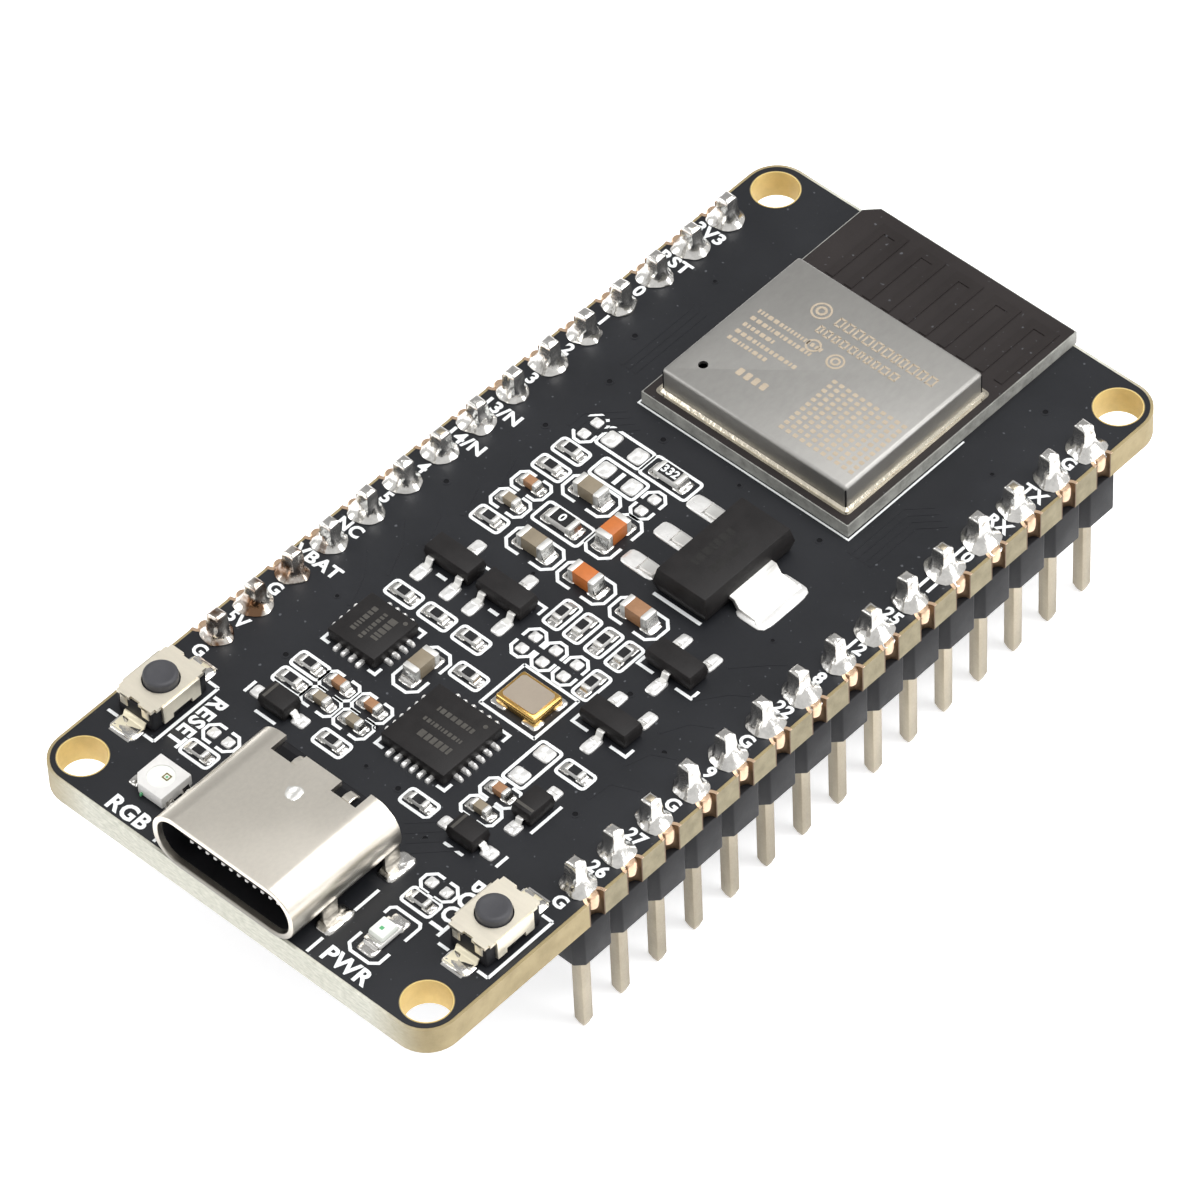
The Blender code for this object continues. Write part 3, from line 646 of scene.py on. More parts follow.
def turned(profile, steps=32, centre=(0.0, 0.0)):
    """A half profile of (radius, height) points spun round a vertical axis."""
    bm = bmesh.new()
    verts = [bm.verts.new((radius, 0.0, height)) for radius, height in profile]
    edges = [bm.edges.new(pair) for pair in zip(verts, verts[1:])]
    bmesh.ops.spin(bm, geom=verts + edges, cent=(0, 0, 0), axis=(0, 0, 1), angle=math.tau,
                   steps=steps, use_merge=True)
    bmesh.ops.remove_doubles(bm, verts=bm.verts[:], dist=1e-5)
    bmesh.ops.translate(bm, vec=(centre[0], centre[1], 0), verts=bm.verts[:])
    return bm


def drum(radius, low, high, steps=32, centre=(0.0, 0.0)):
    return turned(((0.0, low), (radius, low), (radius, high), (0.0, high)), steps, centre)


def tube(outer, inner, low, high, steps=32, centre=(0.0, 0.0), start=0.0, sweep=math.tau):
    """A ring, or the part of one that a smaller sweep gives, closed at its ends."""
    bm = bmesh.new()
    section = ((inner, low), (outer, low), (outer, high), (inner, high))
    verts = [bm.verts.new((radius, 0.0, height)) for radius, height in section]
    edges = [bm.edges.new((verts[index - 1], verts[index])) for index in range(4)]
    bmesh.ops.rotate(bm, cent=(0, 0, 0), matrix=Matrix.Rotation(start, 3, 'Z'), verts=verts)
    bmesh.ops.spin(bm, geom=verts + edges, cent=(0, 0, 0), axis=(0, 0, 1), angle=sweep, steps=steps,
                   use_merge=sweep >= math.tau)
    bmesh.ops.remove_doubles(bm, verts=bm.verts[:], dist=1e-5)
    bmesh.ops.holes_fill(bm, edges=[e for e in bm.edges if e.is_boundary], sides=4)
    bmesh.ops.translate(bm, vec=(centre[0], centre[1], 0), verts=bm.verts[:])
    return bm


def lettering(words, tall, low, high, bold=0.035, stretch=1.0, spacing=1.0):
    """Printed words, centred on the origin, with capitals of the given height."""
    curve = bpy.data.curves.new("words", 'FONT')
    curve.body = words
    curve.align_x = 'CENTER'
    curve.resolution_u = 3
    curve.offset = bold
    curve.space_character = spacing
    holder = bpy.data.objects.new("words", curve)
    mesh = bpy.data.meshes.new_from_object(holder)
    bm = bmesh.new()
    bm.from_mesh(mesh)
    bpy.data.objects.remove(holder)
    bpy.data.meshes.remove(mesh)
    cap_height = 0.69 + bold * 2
    bmesh.ops.remove_doubles(bm, verts=bm.verts[:], dist=1e-5)
    bmesh.ops.translate(bm, vec=(0, -0.34, 0), verts=bm.verts[:])
    scale = tall / cap_height
    bmesh.ops.scale(bm, vec=(scale * stretch, scale, 1), verts=bm.verts[:])
    bmesh.ops.translate(bm, vec=(0, 0, low), verts=bm.verts[:])
    grow(bm, bm.faces[:], (0, 0, high - low))
    return bm


def solder_pad(wide, deep, tall=0.13):
    """Solder lying on a bare pad: a low uneven dome drawn out to a rounded oblong."""
    bm = turned(((0.0, 0.0), (1.0, 0.0), (0.99, 0.35), (0.92, 0.72), (0.78, 0.93), (0.52, 1.0),
                 (0.28, 1.02), (0.0, 1.03)))
    for vert in bm.verts:
        ring = Vector((vert.co.x, vert.co.y))
        reach = (abs(ring.x) ** 6 + abs(ring.y) ** 6) ** (1 / 6)
        if reach > 1e-6:
            ring *= ring.length / reach
        lump = noise.noise(Vector((ring.x * 1.5 + wide * 7, ring.y * 1.5 + deep * 3, wide)))
        vert.co = (ring.x * wide / 2, ring.y * deep / 2, vert.co.z * tall * (1 + 0.4 * lump))
    return bm


def at(x, y, z=0.0, turn=0.0):
    return Matrix.Translation((x, y, z)) @ Matrix.Rotation(math.radians(turn), 4, 'Z')


def moved(part, place):
    bmesh.ops.transform(part, matrix=place, verts=part.verts[:])
    return part


def join(target, part, look=0, place=None):
    """Put a finished part into the target, in its place and with its material's number."""
    if place is not None:
        moved(part, place)
    bmesh.ops.recalc_face_normals(part, faces=part.faces[:])
    for face in part.faces:
        face.material_index = look
    mesh = bpy.data.meshes.new("part")
    part.to_mesh(mesh)
    part.free()
    target.from_mesh(mesh)
    bpy.data.meshes.remove(mesh)


def together(*parts):
    """Several finished parts as one, all with the first material."""
    whole = bmesh.new()
    for part in parts:
        join(whole, part)
    return whole


def carve(part, cutter):
    """Cut the cutter out of a part."""
    objects = []
    for label, bm in (("blank", part), ("cutter", cutter)):
        bmesh.ops.recalc_face_normals(bm, faces=bm.faces[:])
        mesh = bpy.data.meshes.new(label)
        bm.to_mesh(mesh)
        bm.free()
        obj = bpy.data.objects.new(label, mesh)
        bpy.context.scene.collection.objects.link(obj)
        objects.append(obj)
    modifier = objects[0].modifiers.new("cut", 'BOOLEAN')
    modifier.operation = 'DIFFERENCE'
    modifier.solver = 'EXACT'
    modifier.object = objects[1]
    bpy.context.view_layer.update()
    shaped = objects[0].evaluated_get(bpy.context.evaluated_depsgraph_get())
    result = bmesh.new()
    result.from_mesh(shaped.to_mesh())
    shaped.to_mesh_clear()
    for obj in objects:
        mesh = obj.data
        bpy.data.objects.remove(obj)
        bpy.data.meshes.remove(mesh)
    return result


def carve_each(part, cutters):
    """Cut several shapes that may overlap each other out of a part."""
    for cutter in cutters:
        part = carve(part, cutter)
    return part


def to_object(name, bm, looks, smooth=35.0):
    """Turn a part in millimetres into an object with its materials."""
    bmesh.ops.scale(bm, vec=(MM, MM, MM), verts=bm.verts[:])
    mesh = bpy.data.meshes.new(name)
    bm.to_mesh(mesh)
    bm.free()
    for look in looks:
        mesh.materials.append(finish(look))
    mesh.shade_smooth()
    mesh.set_sharp_from_angle(angle=math.radians(smooth))
    obj = bpy.data.objects.new(name, mesh)
    bpy.context.scene.collection.objects.link(obj)
    return obj


def finish_piece(name, bm, looks, replaces=(), body="board", smooth=35.0):
    """Turn a part into a named piece that rides on its body."""
    bmesh.ops.translate(bm, vec=(0, 0, TOP), verts=bm.verts[:])
    obj = to_object(name, bm, looks, smooth)
    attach(obj, body)
    if replaces:
        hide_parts(*replaces)


def paint_node(node, look):
    """Give a CAD node's own mesh a material."""
    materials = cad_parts[node].data.materials
    materials.clear()
    materials.append(finish(look))


def node_box(node):
    """A CAD node's lowest and highest corners, in millimetres, heights from the board's top."""
    low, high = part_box(node)
    return low / MM - Vector((0, 0, TOP)), high / MM - Vector((0, 0, TOP))


def node_middle(node):
    low, high = node_box(node)
    return (low + high) / 2


def pin_places(side):
    """The middle of each pin of one header, from the socket's end."""
    return [node_middle(f"{side}_pin_{index + 1:02d}") for index in range(PINS)]


def ramp(low, high, value):
    """0 below the low value, 1 above the high one, and a smooth climb between."""
    share = max(0.0, min(1.0, (value - low) / (high - low)))
    return share * share * (3 - 2 * share)


def sizes():
    """The board's size settings, in millimetres."""
    settings = bpy.context.scene.board_sizes
    return {key: getattr(settings, key) / MM for key in settings.bl_rna.properties.keys()
            if isinstance(getattr(settings, key), float)}


# ---------------------------------------------------------------- board and header pins

def screw_holes():
    low, high = node_box("circuit_board")
    return [(x, y) for x in (low.x + SCREW_INSET[0], high.x - SCREW_INSET[0])
            for y in (low.y + SCREW_INSET[1], high.y - SCREW_INSET[1])]


def board_blank(low, high, setback, spare, pin_hole):
    """The board's outline between two heights, with its screw holes, pin holes and edge notches."""
    corner_low, corner_high = node_box("circuit_board")
    blank = sheet(corner_high.x - corner_low.x - 2 * setback, corner_high.y - corner_low.y - 2 * setback,
                  BOARD_CORNER - setback, low, high, 10)
    cutters = [drum(SCREW_RADIUS + spare, low - 1, high + 1, 48, hole) for hole in screw_holes()]
    for side, direction in DIRECTIONS.items():
        edge = corner_high.x * direction
        for pin in pin_places(side):
            cutters.append(drum(pin_hole, low - 1, high + 1, 20, (pin.x, pin.y)))
            cutters.append(drum(NOTCH_RADIUS + spare, low - 1, high + 1, 24, (edge, pin.y)))
    return carve(blank, together(*cutters))


def trace_paths():
    """Raised copper under the mask: chains of points that run between the chips and the pins."""
    bend = TRACE_STEP * math.tan(math.radians(22.5))
    paths = []
    for index in range(5):
        step = index * TRACE_STEP
        paths.append(((9.9, 1.6 - index * PITCH), (9.2 - step * 0.4, 1.0 - index * PITCH),
                      (7.9 + step * 0.3, -0.4 - index * PITCH)))
        paths.append(((-9.9, 3.9 - index * PITCH), (-8.6 - step * 0.2, 2.7 - index * PITCH),
                      (-7.9 - step * 0.1, 0.9 - index * PITCH)))
    for index in range(4):
        step = index * TRACE_STEP
        drop = index * bend
        paths.append(((-6.6 + step, 8.5 - drop), (-8.1 + step, 7.0 - drop), (-8.1 + step, 5.9)))
        paths.append(((7.5 + step, 8.6), (7.5 + step, 12.4 - drop), (8.6 + step, 13.5 - drop)))
        paths.append(((3.0 + step, -17.1 - step), (4.8 + step, -15.3 - step)))
    for index in range(3):
        step = index * TRACE_STEP
        drop = index * bend
        paths.append(((-8.0 - step, 10.5), (-8.0 - step, 15.6 - drop), (-8.9 - step, 16.5 - drop)))
    return paths


class BOARD_OT_laminate(bpy.types.Operator):
    """Make the laminate, the solder mask on its two faces, the raised traces and the vias"""
    bl_idname = "board.laminate"
    bl_label = "Laminate and Mask"

    def execute(self, context):
        size = sizes()
        low, high = node_box("circuit_board")
        mask = size["mask_tall"]
        core = board_blank(low.z, high.z, 0.0, 0.0, PIN_HOLE)
        core.normal_update()
        # Painted shade: side faces that look across the board, between the notches, get the darker copy
        for face in core.faces:
            if abs(face.normal.x) > 0.9 and SHADED_SIDE[0] < face.calc_center_median().y < SHADED_SIDE[1]:
                face.material_index = 1
        looks = ["laminate", "laminate_olive"]
        finish_piece("laminate_core", core, looks, ["circuit_board"])
        skins = {"mask_top": (high.z, high.z + mask), "mask_underside": (low.z - mask, low.z)}
        for name, (under, over) in skins.items():
            skin = board_blank(under, over, size["mask_setback"], 0.06, PIN_HOLE - 0.05)
            finish_piece(name, skin, ["solder_mask"])
        sleeves = bmesh.new()
        inner, outer = SCREW_RADIUS - 0.03, SCREW_RADIUS + 0.02
        for hole in screw_holes():
            join(sleeves, tube(outer, inner, low.z - 0.01, high.z + 0.012, 48, hole))
        finish_piece("screw_hole_walls", sleeves, ["hole_resin"])
        relief = bmesh.new()
        for path in trace_paths():
            join(relief, stroke(path, 0.24, mask - 0.005, mask + 0.012))
        finish_piece("mask_trace_relief", relief, ["solder_mask"])
        vias = bmesh.new()
        under = low.z - mask
        for index, place in enumerate(VIAS):
            radius = 0.24 if index % 3 else 0.17
            hollow = radius * 0.6
            join(vias, tube(radius, hollow, mask - 0.005, mask + 0.016, 16, place), 0)
            # Painted shade: a near-black disc fills the via's hole at each face
            join(vias, drum(hollow, mask - 0.005, mask + 0.002, 16, place), 1)
            join(vias, tube(radius, hollow, under - 0.016, under + 0.005, 16, place), 0)
            join(vias, drum(hollow, under - 0.002, under + 0.005, 16, place), 1)
        finish_piece("mask_vias", vias, ["solder_mask", "hollow_dark"])
        return {'FINISHED'}


class BOARD_OT_edge_plating(bpy.types.Operator):
    """Make the plated half barrels in the notches along both long edges, their walls darkened by painted
    shade
    """
    bl_idname = "board.edge_plating"
    bl_label = "Edge Plating"

    def execute(self, context):
        low, high = node_box("circuit_board")
        tall = sizes()["mask_tall"]
        for side, direction in DIRECTIONS.items():
            plating = bmesh.new()
            start = math.radians(90 if direction > 0 else -90)
            for pin in pin_places(side):
                arc = (16, (high.x * direction, pin.y), start, math.pi)
                over = high.z + tall
                # Painted shade: the barrel's inner wall takes the dark brown copy of the plating
                join(plating, tube(NOTCH_RADIUS, NOTCH_RADIUS - 0.07, low.z - tall, over, *arc), 1)
                join(plating, tube(NOTCH_RADIUS + 0.12, NOTCH_RADIUS - 0.05, high.z, over + 0.01, *arc))
                plug = turned(((0.0, -0.9), (0.2, -0.87), (0.33, -0.74), (0.37, -0.5), (0.37, -0.06),
                               (0.3, 0.05), (0.0, 0.07)), 24)
                join(plating, plug, 0, at((high.x - 0.36) * direction, pin.y, high.z))
            finish_piece(side + "_edge_plating", plating, ["plating", "dull_plating"])
        return {'FINISHED'}


def pin_post(side, index):
    """One square pin: flats with eased corners, pointed at both ends."""
    low, high = node_box(f"{side}_pin_{index + 1:02d}")
    middle = (low + high) / 2
    point, narrow = 0.45, 0.55
    wide = (high.x - low.x) * narrow
    bm = flat_outline(wide, wide)
    bmesh.ops.translate(bm, vec=(0, 0, low.z), verts=bm.verts[:])
    for rise, scale in ((point, 1 / narrow), (high.z - low.z - 2 * point, 1.0), (point, narrow)):
        top = [f for f in bm.faces if f.calc_center_median().z > max(v.co.z for v in bm.verts) - 1e-6]
        moved = grow(bm, top, (0, 0, rise))
        bmesh.ops.scale(bm, vec=(scale, scale, 1), verts=moved)
        if len(bm.faces) > 6:
            bmesh.ops.delete(bm, geom=top, context='FACES_ONLY')
    soften(bm, 0.05, 2)
    bmesh.ops.translate(bm, vec=(middle.x, middle.y, 0), verts=bm.verts[:])
    return bm


def solder_joint(outward, seed):
    """A pin's solder: a wide hollow foot that climbs to a squarish coat over the pin's end."""
    profile = ((0.0, 0.02), (0.78, 0.02), (0.79, 0.06), (0.74, 0.12), (0.65, 0.21), (0.56, 0.34), (0.49, 0.5),
               (0.435, 0.68), (0.4, 0.88), (0.375, 1.1), (0.36, 1.34), (0.35, 1.48), (0.32, 1.55), (0.2, 1.6),
               (0.0, 1.61))
    dice = random.Random(seed)
    shift = Vector((dice.uniform(0, 40), dice.uniform(0, 40), dice.uniform(0, 40)))
    stretch = dice.uniform(0.93, 1.03)
    bulk = dice.uniform(0.92, 1.1)
    bm = turned(profile, 40)
    for vert in bm.verts:
        height = vert.co.z
        ring = Vector((vert.co.x, vert.co.y))
        reach = ring.length
        if reach > 1e-6:
            across = ring / reach
            climb = ramp(0.35, 0.95, height)
            square = 0.96 / max(abs(across.x), abs(across.y))
            reach *= (1 - climb) * bulk + climb * square
            lump = noise.noise(Vector((across.x * 1.1, across.y * 1.1, height * 0.9)) + shift)
            fine = noise.noise(Vector((across.x * 2.2, across.y * 2.2, height * 1.8)) + shift)
            reach += (0.13 * lump + 0.05 * fine) * (1 - 0.7 * climb) * min(1.0, reach)
            facing = max(0.0, across.x * outward)
            reach *= 1 + OUTWARD_FLARE * facing * (1 - ramp(0.05, 1.1, height))
            ring = across * reach
        crown = noise.noise(Vector((ring.x, ring.y, 0.0)) + shift) * ramp(1.2, 1.6, height)
        past = max(0.0, ring.x * outward - 0.7)
        sag = past * 0.5 * (1 - ramp(0.2, 0.7, height))
        vert.co = (ring.x, ring.y, height * stretch + 0.08 * crown - sag)
    return bm


class BOARD_OT_header_pins(bpy.types.Operator):
    """Make the header pins and the solder that holds each in the board"""
    bl_idname = "board.header_pins"
    bl_label = "Header Pins and Solder"

    def execute(self, context):
        tall = sizes()["mask_tall"]
        for side, direction in DIRECTIONS.items():
            for index, pin in enumerate(pin_places(side)):
                number = f"{index + 1:02d}"
                finish_piece(f"{side}_post_{number}", pin_post(side, index), ["pin_metal"],
                             [f"{side}_pin_{number}"])
                joint = bmesh.new()
                seed = index * 7 + direction * 3 + 11
                join(joint, solder_joint(direction, seed), 0, at(pin.x, pin.y, tall))
                browned = side == "left" and index < BROWNED_JOINTS
                look = "flux_solder" if browned else "solder"
                finish_piece(f"{side}_joint_{number}", joint, [look], smooth=50)
        return {'FINISHED'}


class BOARD_OT_header_strips(bpy.types.Operator):
    """Make the two moulded strips that hold the pins in line"""
    bl_idname = "board.header_strips"
    bl_label = "Header Strips"

    def execute(self, context):
        size = sizes()
        groove = 0.42
        for side in DIRECTIONS:
            low, high = node_box(side + "_header_housing")
            middle = (low + high) / 2
            bm = bmesh.new()
            for pin in pin_places(side):
                cell = flat_outline(high.x - low.x, PITCH, groove)
                join(bm, cell, 0, at(middle.x, pin.y, low.z))
            bmesh.ops.remove_doubles(bm, verts=bm.verts[:], dist=1e-3)
            shared = [e for e in bm.edges if len(e.link_faces) == 2]
            bmesh.ops.dissolve_edges(bm, edges=shared, use_verts=False)
            grow(bm, bm.faces[:], (0, 0, high.z - low.z))
            soften(bm, size["housing_bevel"])
            sockets = [moved(block((-0.5, -0.5, low.z - 1), (0.5, 0.5, low.z + 0.22)), at(pin.x, pin.y))
                       for pin in pin_places(side)]
            bm = carve(bm, together(*sockets))
            finish_piece(side + "_header_strip", bm, ["moulding"],
                         [side + "_header_housing"])
        return {'FINISHED'}


# ---------------------------------------------------------------- radio module

def can_marks(middle):
    """Etched lines of unreadable dashes, plain spots and a regular field of squares."""
    dice = random.Random(5)
    marks = bmesh.new()
    height = 0.012

    def dash(x, y, wide, deep):
        join(marks, sheet(wide, deep, min(wide, deep) * 0.2, 0.0, height, 2, (x, y)))

    for row_y, tall, start, end in ((2.9, 0.62, -1.6, 4.3), (1.95, 0.52, -2.0, 3.2)):
        x = start
        while x < end:
            wide = dice.uniform(0.3, 0.5)
            join(marks, frame_line(wide, tall, 0.05, 0.1, 0.0, height, (x + wide / 2, row_y)))
            x += wide + 0.14
    for row_y, start, end in ((0.95, -4.9, -0.9), (0.4, -4.9, -1.1), (-0.15, -4.9, -2.9), (-0.7, -4.9, -1.0),
                              (-1.25, -4.9, -2.4)):
        x = start
        while x < end:
            wide = dice.choice((0.12, 0.2, 0.28))
            dash(x + wide / 2, row_y, wide, 0.26)
            x += wide + 0.09
    for index in range(4):
        dash(-2.9 + index * 0.5, -2.6, 0.32, 0.48)
    for radius, x, y in ((0.55, -2.6, 2.9), (0.48, 0.1, 0.85)):
        join(marks, tube(radius, radius - 0.11, 0.0, height, 28, (x, y)))
        join(marks, tube(radius * 0.55, radius * 0.3, 0.0, height, 20, (x, y)))
    join(marks, tube(0.42, 0.3, 0.0, height, 20, (-1.4, 0.95)))
    for column in range(11):
        for row in range(11):
            dash(0.95 + column * 0.44, -3.95 + row * 0.38, 0.27, 0.23)
    bmesh.ops.translate(marks, vec=(middle.x, middle.y, middle.z), verts=marks.verts[:])
    return marks


def module_laminate():
    """The module's own board, one corner cut, with its aerial under a dull mask."""
    low, high = node_box("module_board")
    middle = ((low.x + high.x) / 2, (low.y + high.y) / 2)
    wide, deep = high.x - low.x, high.y - low.y
    coat = 0.03
    core = sheet(wide, deep, 0.0, low.z, high.z - coat, 1, middle)
    base = bmesh.new()
    join(base, carve(core, diamond_post(low.x - 0.3, high.y + 0.3, 0.9)), 0)
    top = sheet(wide - 0.12, deep - 0.12, 0.05, high.z - coat, high.z, 1, middle)
    join(base, carve(top, diamond_post(low.x - 0.25, high.y + 0.25, 0.9)), 1)
    for index in range(5):
        x = low.x + 1.7 + index * 2.4
        path = ((x, high.y - 5.0), (x, high.y - 1.0), (x + 1.2, high.y - 1.0), (x + 1.2, high.y - 5.0))
        if x + 1.2 >= high.x - 0.5:
            path = path[:2]
        join(base, stroke(path, 0.5, high.z - 0.01, high.z + 0.045), 2)
    return base


def shield_cover(bend):
    """The folded can: a box open below, with a vent hole and a slot at each corner filled with a dark strip
    of painted shade.
    """
    low, high = node_box("shield_can")
    wall = Vector((SHEET_THICK, SHEET_THICK, 0))
    can = block(low, high, bend, 4, lambda place, edge: place.z > low.z + 0.05)
    hollow = block(low + wall - Vector((0, 0, 1)), high - wall - Vector((0, 0, SHEET_THICK)))
    vent = drum(0.25, high.z - 0.5, high.z + 1, 28, (low.x + 1.33, low.y + 1.5))
    corners = [(x, y) for x in (low.x + 0.06, high.x - 0.06) for y in (low.y + 0.06, high.y - 0.06)]
    seams = [block((x - 0.04, y - 0.04, low.z - 1), (x + 0.04, y + 0.04, high.z - 0.22)) for x, y in corners]
    can = carve_each(can, (hollow, vent, *seams))
    # Painted shade: a near-black strip inside each corner slot
    for x, y in corners:
        join(can, block((x - 0.035, y - 0.035, low.z + 0.1), (x + 0.035, y + 0.035, high.z - 0.25)), 1)
    return can


def shield_solder():
    """The band of solder round the can's foot, sloping up to its walls."""
    low, high = node_box("shield_can")
    wide, deep = high.x - low.x, high.y - low.y
    x, y = (low.x + high.x) / 2, (low.y + high.y) / 2
    fillet = bmesh.new()
    band = frame_line(wide + 0.56, deep + 0.56, 0.25, 0.34, 0.0, 0.04, (x, y))
    join(fillet, band, 0, at(0, 0, low.z - 0.05))
    slope = frame_line(wide + 0.3, deep + 0.3, 0.2, 0.2, 0.0, 0.16, (x, y))
    rim = [v for v in slope.verts if v.co.z > 0.1
           and (abs(v.co.x - x) > wide / 2 + 0.01 or abs(v.co.y - y) > deep / 2 + 0.01)]
    bmesh.ops.translate(slope, vec=(0, 0, -0.13), verts=rim)
    join(fillet, slope, 0, at(0, 0, low.z - 0.02))
    return fillet


class BOARD_OT_radio_module(bpy.types.Operator):
    """Make the radio module's own board, its aerial, its shield can and the can's marks"""
    bl_idname = "board.radio_module"
    bl_label = "Radio Module"

    def execute(self, context):
        looks = ["frosted_edge", "aerial_mask", "aerial_bars"]
        finish_piece("module_laminate", module_laminate(), looks, ["module_board"])
        cover = shield_cover(sizes()["can_bend"])
        looks = ["shield_sheet", "hollow_dark"]
        finish_piece("shield_cover", cover, looks, ["shield_can"], smooth=40)
        finish_piece("shield_solder", shield_solder(), ["warm_solder"])
        low, high = node_box("shield_can")
        marks = can_marks(Vector(((low.x + high.x) / 2, (low.y + high.y) / 2, high.z - 0.004)))
        finish_piece("shield_marks", marks, ["etched_mark"])
        paint_node("radio_chip", "package")
        paint_node("radio_crystal", "crystal_top")
        return {'FINISHED'}


# ---------------------------------------------------------------- USB socket

def rounded_tube(wide, tall, corner, wall, front, back, middle_z):
    """A flattened tube along the board, its end at the front rounded into a lip."""
    bm = flat_outline(wide, tall, corner, 14)
    keep_rim(bm, wall)
    grow(bm, bm.faces[:], (0, 0, back - front))
    bmesh.ops.rotate(bm, cent=(0, 0, 0), matrix=Matrix.Rotation(math.radians(-90), 3, 'X'), verts=bm.verts[:])
    bmesh.ops.translate(bm, vec=(0, front, middle_z), verts=bm.verts[:])
    return bm


def side_block(direction, across, along, heights, radius=0.0, segments=2):
    """A box on one side of the board's middle line; across gives its distances from that line."""
    near, far = sorted(distance * direction for distance in across)
    return block((near, along[0], heights[0]), (far, along[1], heights[1]), radius, segments)


def usb_shell(lip):
    """The folded shell: a flattened tube with its windows, spring fingers, legs and weld spot."""
    low, high = node_box("usb_shell")
    front, back = low.y, high.y
    shell = rounded_tube(high.x - low.x, SHELL_TALL, 1.5, 0.3, front, back, SHELL_MIDDLE)
    soften(shell, lip, 3, lambda place, edge: place.y < front + 0.01)
    cutters = []
    for direction in (-1, 1):
        cutters.append(side_block(direction, (1.13, 2.69), (back - 1.05, back + 1), (2.2, 4.0)))
        cutters.append(side_block(direction, (3.3, 4.9), (-22.4, -20.4), (-0.3, 0.95)))
        cutters.append(side_block(direction, (3.3, 4.9), (-18.95, back + 1), (-0.3, 1.15)))
    cutters.append(block((-1.2, back - 0.3, 2.2), (1.2, back + 1, 4.0)))
    whole = bmesh.new()
    join(whole, carve_each(shell, cutters))
    # Painted shade: a near-black block inside the shell, under the rear windows
    join(whole, block((-2.75, back - 1.3, 2.3), (2.75, back - 0.02, 2.84), 0.03, 1), 2)
    for direction in (-1, 1):
        finger = ribbon(((0.0, 0.0), (0.3, 0.04), (0.62, -0.06), (0.85, -0.34)), 0.52, 0.16)
        join(whole, finger, 0, at(1.6 * direction + 0.36, back - 1.0, high.z - 0.1, 90))
        for y in LEG_ROWS:
            join(whole, side_block(direction, (4.12, 4.38), (y - 0.5, y + 0.5), (low.z + 0.01, 1.2), 0.05))
    weld = turned(((0.0, 0.015), (0.14, 0.03), (0.26, 0.05), (0.36, 0.045), (0.42, 0.015), (0.45, 0.0)), 28)
    for vert in weld.verts:
        vert.co.z += 0.05 * noise.noise(vert.co * 4)
        vert.co.x *= 1 + 0.3 * noise.noise(vert.co * 3)
    join(whole, weld, 3, at(0, -21.0, high.z - 0.005))
    return whole


def usb_tongue():
    """The moulded tongue with its contacts and latch plates, and the blocks that hold it."""
    front = node_box("usb_tongue")[0].y
    level = SHELL_MIDDLE
    tongue = bmesh.new()
    join(tongue, block((-3.35, front, level - 0.35), (3.35, -20.5, level + 0.35), 0.12, 3))
    join(tongue, block((-4.05, -20.6, 0.5), (4.05, -18.85, 2.9), 1.05, 6,
                       lambda place, edge: abs(place.x) > 4 and abs(place.z - 1.7) > 1))
    join(tongue, block((-3.9, -22.7, 0.07), (3.9, -20.2, 0.5), 0.08))
    for index in range(12):
        x = -2.75 + index * 0.5
        for face in (level + 0.35, level - 0.35):
            contact = block((x - 0.13, front + 0.45, face - 0.03), (x + 0.13, -20.6, face + 0.03), 0.02, 1)
            join(tongue, contact, 1)
        # Painted highlight: a matt white dot under each contact's front end stands in for its glint
        dot = block((x - 0.1, front - 0.03, level - 0.42), (x + 0.1, front + 0.3, level - 0.26), 0.03, 1)
        join(tongue, dot, 2)
    for direction in (-1, 1):
        latch = side_block(direction, (3.3, 3.42), (front + 0.6, -21.0), (level - 0.2, level + 0.2), 0.03, 1)
        join(tongue, latch, 1)
    return tongue


class BOARD_OT_usb_socket(bpy.types.Operator):
    """Make the USB socket: folded shell, tongue with its contacts, insulator and soldered legs"""
    bl_idname = "board.usb_socket"
    bl_label = "USB Socket"

    def execute(self, context):
        shell = usb_shell(sizes()["socket_lip"])
        looks = ["socket_sheet", "solder", "hollow_dark", "tin"]
        finish_piece("usb_shell_formed", shell, looks, ["usb_shell"], smooth=32)
        low, high = node_box("usb_shell")
        # Painted shade: a thin near-black tube inside the shell darkens the socket's mouth
        wide = high.x - low.x - 0.62
        inner_shade = rounded_tube(wide, SHELL_TALL - 0.62, 1.19, 0.04, low.y + 0.35, high.y - 0.4, SHELL_MIDDLE)
        finish_piece("usb_lining", inner_shade, ["hollow_dark"])
        looks = ["moulding", "gold_plate", "white_ceramic"]
        finish_piece("usb_tongue_moulded", usb_tongue(), looks, ["usb_tongue"])
        solder = bmesh.new()
        for direction in (-1, 1):
            for y in LEG_ROWS:
                join(solder, solder_pad(1.1, 1.9, 0.2), 0, at(4.6 * direction, y, 0.02))
                drop = turned(((0.0, 0.0), (0.7, 0.0), (0.6, -0.14), (0.35, -0.3), (0.0, -0.36)), 24)
                join(solder, drop, 0, at(4.25 * direction, y, -1.62))
        finish_piece("usb_leg_solder", solder, ["solder"])
        return {'FINISHED'}


# ---------------------------------------------------------------- push buttons

